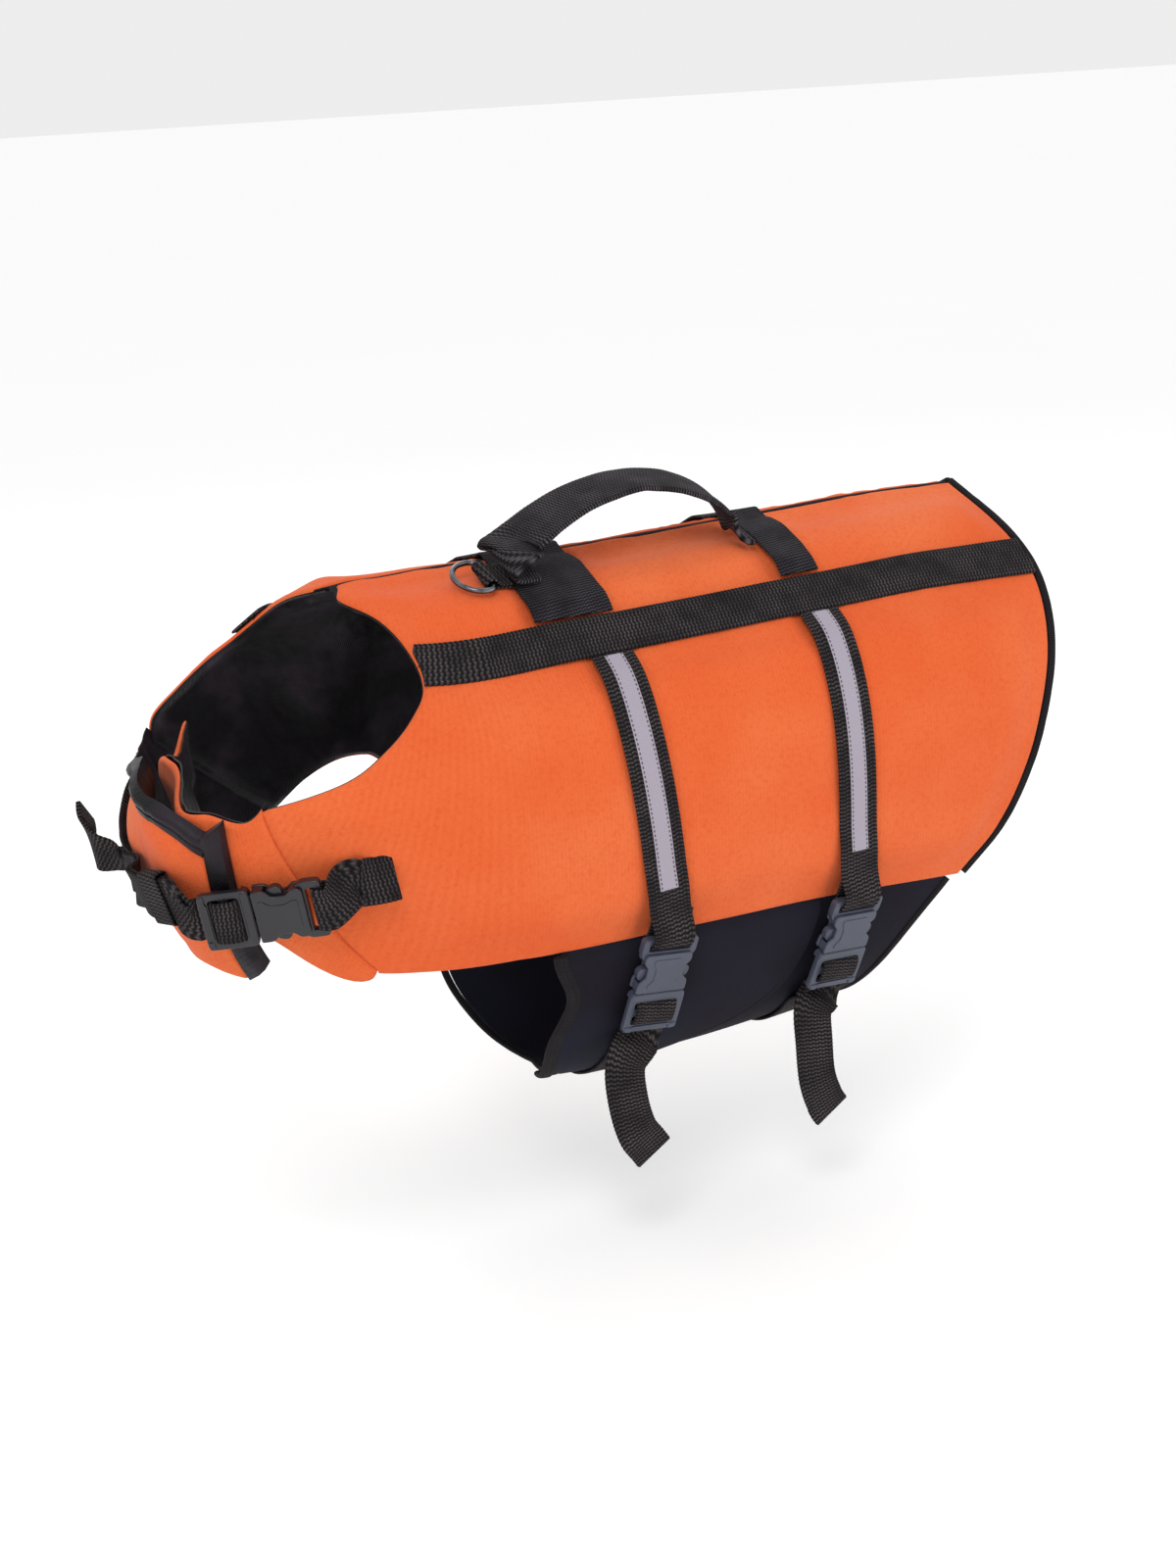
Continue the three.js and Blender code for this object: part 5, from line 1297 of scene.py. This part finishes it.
chestAxes = settledFrame(chestPoint(left, *chest["socket"], 9), chestPoint(left, *chest["ladder"], 12),
                         figureNormal(left, -186, float(halfGirth(-186)) - 95))
buckleHalf("chest_buckle_socket", socketParts, chestAxes, "dark")
buckleHalf("chest_buckle_prongs", prongParts, chestAxes, "dark")
t = even(4)
q, x = mix(chest["sewn"][1], chest["socket"][1] - 15, t), mix(chest["sewn"][0], chest["socket"][0] + 3, t)
downs = halfGirth(x) + q
level = bridged(left, x, downs, 8) + 1.8 + 1.6 * smooth((t - 0.5) / 0.5) - 1.5 * (1 - smooth(t / 0.5))
points = [*raised(left, x, downs, level), *throughFrame(chestAxes, socketLoop[:-1])]
across = [*sideAcross(left, x, downs), *[-chestAxes[1]] * (len(socketLoop) - 1)]
webStrap("chest_strap_fixed", points, across, [("start", 9, 0.5)])

chestStrapX = lambda q: mix(-199, -203, smooth((q + 60) / 80))


def strapPlace(q, lift):
    x = mix(chest["farEnd"][0], chestStrapX(q), smooth((q - chest["farEnd"][1]) / 60))
    level = mix(cut["foamInner"] + cut["foamFull"] + 1.4, chest["overFlap"], smooth((q + 20) / 46))
    down = float(halfGirth(x)) + q
    return raised(right, x, down, level + lift), sideAcross(right, x, down)


keeperEnds = [strapPlace(q, 0) for q in chest["keeper"]]
keeperQ = sum(chest["keeper"]) / 2
keeperX = float(chestStrapX(keeperQ))
keeperOut = figureNormal(left, keeperX, float(halfGirth(keeperX)) - keeperQ)
keeperAxes = buckleFrame(keeperEnds[0][0], keeperEnds[1][0], keeperOut)
keeperSpan = float(np.linalg.norm(keeperEnds[1][0] - keeperEnds[0][0]))
keeperAcross = keeperAxes[1] * np.sign(np.dot(keeperAxes[1], keeperEnds[0][1]))
keeperRun = lambda lift: [(inFrame(keeperAxes, y, lift), keeperAcross)
                          for y in (0, keeperSpan / 2 - 11, keeperSpan / 2 + 11, keeperSpan)]
strapRows = [chest["farEnd"][1], -135, -120, -105, -90, -75, -60, -45, -30, -15, 0, 14]
path = [strapPlace(q, 0) for q in strapRows] + keeperRun(0)
path += [(point, chestAxes[1]) for point in throughFrame(chestAxes, ladderLoop)]
tailLift = 2 * cut["webThick"] + 0.5
path += keeperRun(tailLift)[::-1] + [strapPlace(q, tailLift) for q in strapRows[::-1] if q > -50]
root = path[-1][0]
tail = ((-11, 8, 6), (-14, 19, 14), (-12, 30, 25))
path += [(root + np.array(step), np.array([-.25, 0, .96])) for step in tail]
webStrap("chest_strap_adjusting", *zip(*path), [("end", 11, 0.75)])

keeperLoop = softened([(-15, -2.1), (15, -2.1), (15, 5.6), (-15, 5.6)], 1.2, 3)
start = keeperLoop.index(min(keeperLoop, key=lambda p: abs(p[0]) + (0 if p[1] < 0 else 99)))
ring = keeperLoop[start:] + keeperLoop[:start] + keeperLoop[start:start + 1]
points = [inFrame(keeperAxes, keeperSpan / 2, z, x) for x, z in ring]
dress(ribbon("keeper", points, [keeperAxes[2]] * len(points), 20, 1.0, 0.9, serrated=0.1), "web")
print("chest strap threaded")

# Lead ring and handle
ringLook = {"x": -121, "down": 33, "bar": 4, "wire": 1.6, "tabWide": 20, "tabThick": 1.2, "step": 0.8}
ringLevel = float(bridged(left, ringLook["x"], ringLook["down"], 14)) + ringLook["bar"] - 0.4
ringAxes = buckleFrame(raised(left, ringLook["x"], ringLook["down"], ringLevel),
                       raised(left, ringLook["x"] - 10, ringLook["down"], ringLevel),
                       figureNormal(left, ringLook["x"], ringLook["down"]))
ringHalf = [(0, 0), (5, 0), (10, 0), (12.6, .6), (14, 3), (14, 7), (12.4, 11.4), (9, 15), (4.8, 17.2),
            (0, 18)]
ringLoop = np.array(ringHalf + [(-x, y) for x, y in ringHalf[-2:0:-1]])
ringClosed = [(*p, 0) for p in np.vstack([ringLoop, ringLoop[:1]])]
ringFine, _, _ = throughPoints(ringClosed, np.zeros((len(ringClosed), 1)), ringLook["step"])
ringPoints = [inFrame(ringAxes, ahead, 0, sideways) for sideways, ahead, _ in ringFine[:-1]]
dress(tube("d_ring", ringPoints, ringLook["wire"]), "ring", "lead_ring")
tabLoop = [(-13, -2.4), (-7, -2.3), (-3.4, -2.3), (-.8, -2.35), (1.2, -2.1), (2.3, -.8), (2.3, .8),
           (1.2, 2.1), (-.8, 2.3), (-2.6, 1.5), (-4.6, -.9), (-7, -1.85), (-13, -1.9)]
tabAcross = ringAxes[1] * np.sign(ringAxes[1][1])
dress(ribbon("d_ring_tab", throughFrame(ringAxes, tabLoop), [tabAcross] * len(tabLoop),
             ringLook["tabWide"], ringLook["tabThick"], ringLook["step"]), "web")

handleLook = {"wide": 38, "thick": 3.2, "down": 28, "pinch": 0.12}
onBack = lambda x: float(bridged(left, x, handleLook["down"], handleLook["wide"] / 2))
handleLevel = onBack(bands["front"][0]) + cut["webThick"] + 0.6 + handleLook["thick"]
footFront = lambda x, height: raised(left, x, handleLook["down"], handleLevel + height)
footRear = lambda x, height: raised(left, x, handleLook["down"], onBack(x) + height)
handleArc = [(-96, -27, 14.5), (-87, -26.5, 19.5), (-76, -26, 25.5), (-55, -26, 34), (-23, -26, 39),
             (8, -26, 33.5), (27, -26, 23.5), (36, -26.5, 13.5)]
footRows = ((-93, 0), (-103, .1), (-106, 1.2), (-107, 3.2), (-105.4, 5))
gripAcross = np.array([0, .99, .12])
backSlope = unit(raised(left, 0, 20, 0) - raised(left, 0, 36, 0))
path = [(footFront(x, h), backSlope) for x, h in footRows]
for x, y, z in handleArc:
    upright = max(1 - abs(x + 30) / 90, 0)
    path.append((np.array([x, y, z], float), mix(backSlope, gripAcross, upright)))
path += [(footRear(40.5, 1.4), backSlope), (footRear(44, .3), backSlope)]


def gripShape(flat, mark, whole):  # a folded edge on both sides, pinched where it meets the rear band
    flat = flat.copy()
    narrow = 1 - handleLook["pinch"] * smooth((mark - whole * 0.72) / 30)
    flat[:, 0] *= narrow
    flat[:, 1] += 0.5 * (1 - np.cos(2 * np.pi * np.clip(np.abs(flat[:, 0]) / 19, 0, 1))) * 0.3
    flat[:, 1] += 0.3 * ripple(flat[:, 0], mark + 0 * flat[:, 0], 151, 9)
    return flat


grip = ribbon("handle", *zip(*path), handleLook["wide"], handleLook["thick"], 1.2, shape=gripShape)
dress(grip, "grip")
print("lead ring and handle fitted")

# Floor, light and camera
stageLook = {
    "floorDrop": 0.05, "floor": (0.93, 0.93, 0.93), "paler": (0.95, 0.95, 0.95), "world": 0.85, "key": 15.0,
    "fill": 4.0, "rim": 7.0,
}
floorMesh = bpy.data.meshes.new("floor")
reach, level = 30.0, cadLow[2] - stageLook["floorDrop"]
corners = [(x * reach, y * reach, level) for x, y in ((-1, -1), (1, -1), (1, 1), (-1, 1))]
floorMesh.from_pydata(corners, [], [(0, 1, 2, 3)])
floor = placed("floor", floorMesh)
floorFinish = Finish("pale_floor", Roughness=0.9, Specular_IOR_Level=0.1, Emission_Strength=0.16)
floorTint = floorFinish.blend(floorFinish.noise(2.0), stageLook["floor"], stageLook["paler"])
floorFinish.feed("Base Color", floorTint)
floorMesh.materials.append(floorFinish.material)

world = bpy.data.worlds.new("studio")
bpy.context.scene.world = world
world.use_nodes = True
world.node_tree.nodes["Background"].inputs[0].default_value = (1, 1, 1, 1)
world.node_tree.nodes["Background"].inputs[1].default_value = stageLook["world"]


def areaLight(name, place, target, size, energy):
    light = bpy.data.lights.new(name, "AREA")
    light.shape, light.size, light.energy = "DISK", size, energy
    lamp = placed(name, light)
    lamp.location = place
    lamp.rotation_mode = "QUATERNION"
    lamp.rotation_quaternion = (Vector(target) - Vector(place)).to_track_quat("-Z", "Y")


for name, place, aim, size in (("key", (-0.9, -1.3, 1.5), -0.1, 1.0), ("fill", (1.3, -1.2, 0.3), -0.1, 1.4),
                               ("rim", (0.5, 1.6, 1.3), -0.05, 1.0)):
    areaLight(name + "_light", place, (0, 0, aim), size, stageLook[name])

cameraLook = {
    "turn": -28.5, "height": 16.0, "roll": -3.0, "distance": 1.5, "target": (0, 0, -0.140), "lens": 58.05,
    "shift": (-0.045, -0.0075),
}
a, e, roll = (math.radians(cameraLook[k]) for k in ("turn", "height", "roll"))
back = Vector((math.sin(a) * math.cos(e), -math.cos(a) * math.cos(e), math.sin(e)))
rightward = Vector((math.cos(a), math.sin(a), 0))
upward = back.cross(rightward)
turned = (rightward * math.cos(roll) + upward * math.sin(roll),
          upward * math.cos(roll) - rightward * math.sin(roll))
cameraData = bpy.data.cameras.new("camera")
cameraData.lens, cameraData.sensor_width = cameraLook["lens"], 36
cameraData.shift_x, cameraData.shift_y = cameraLook["shift"]
camera = placed("camera", cameraData)
place = Vector(cameraLook["target"]) + back * cameraLook["distance"]
camera.matrix_world = Matrix.Translation(place) @ Matrix((turned[0], turned[1], back)).transposed().to_4x4()
bpy.context.scene.camera = camera
bpy.context.scene.view_settings.view_transform = "Standard"
print("studio set")
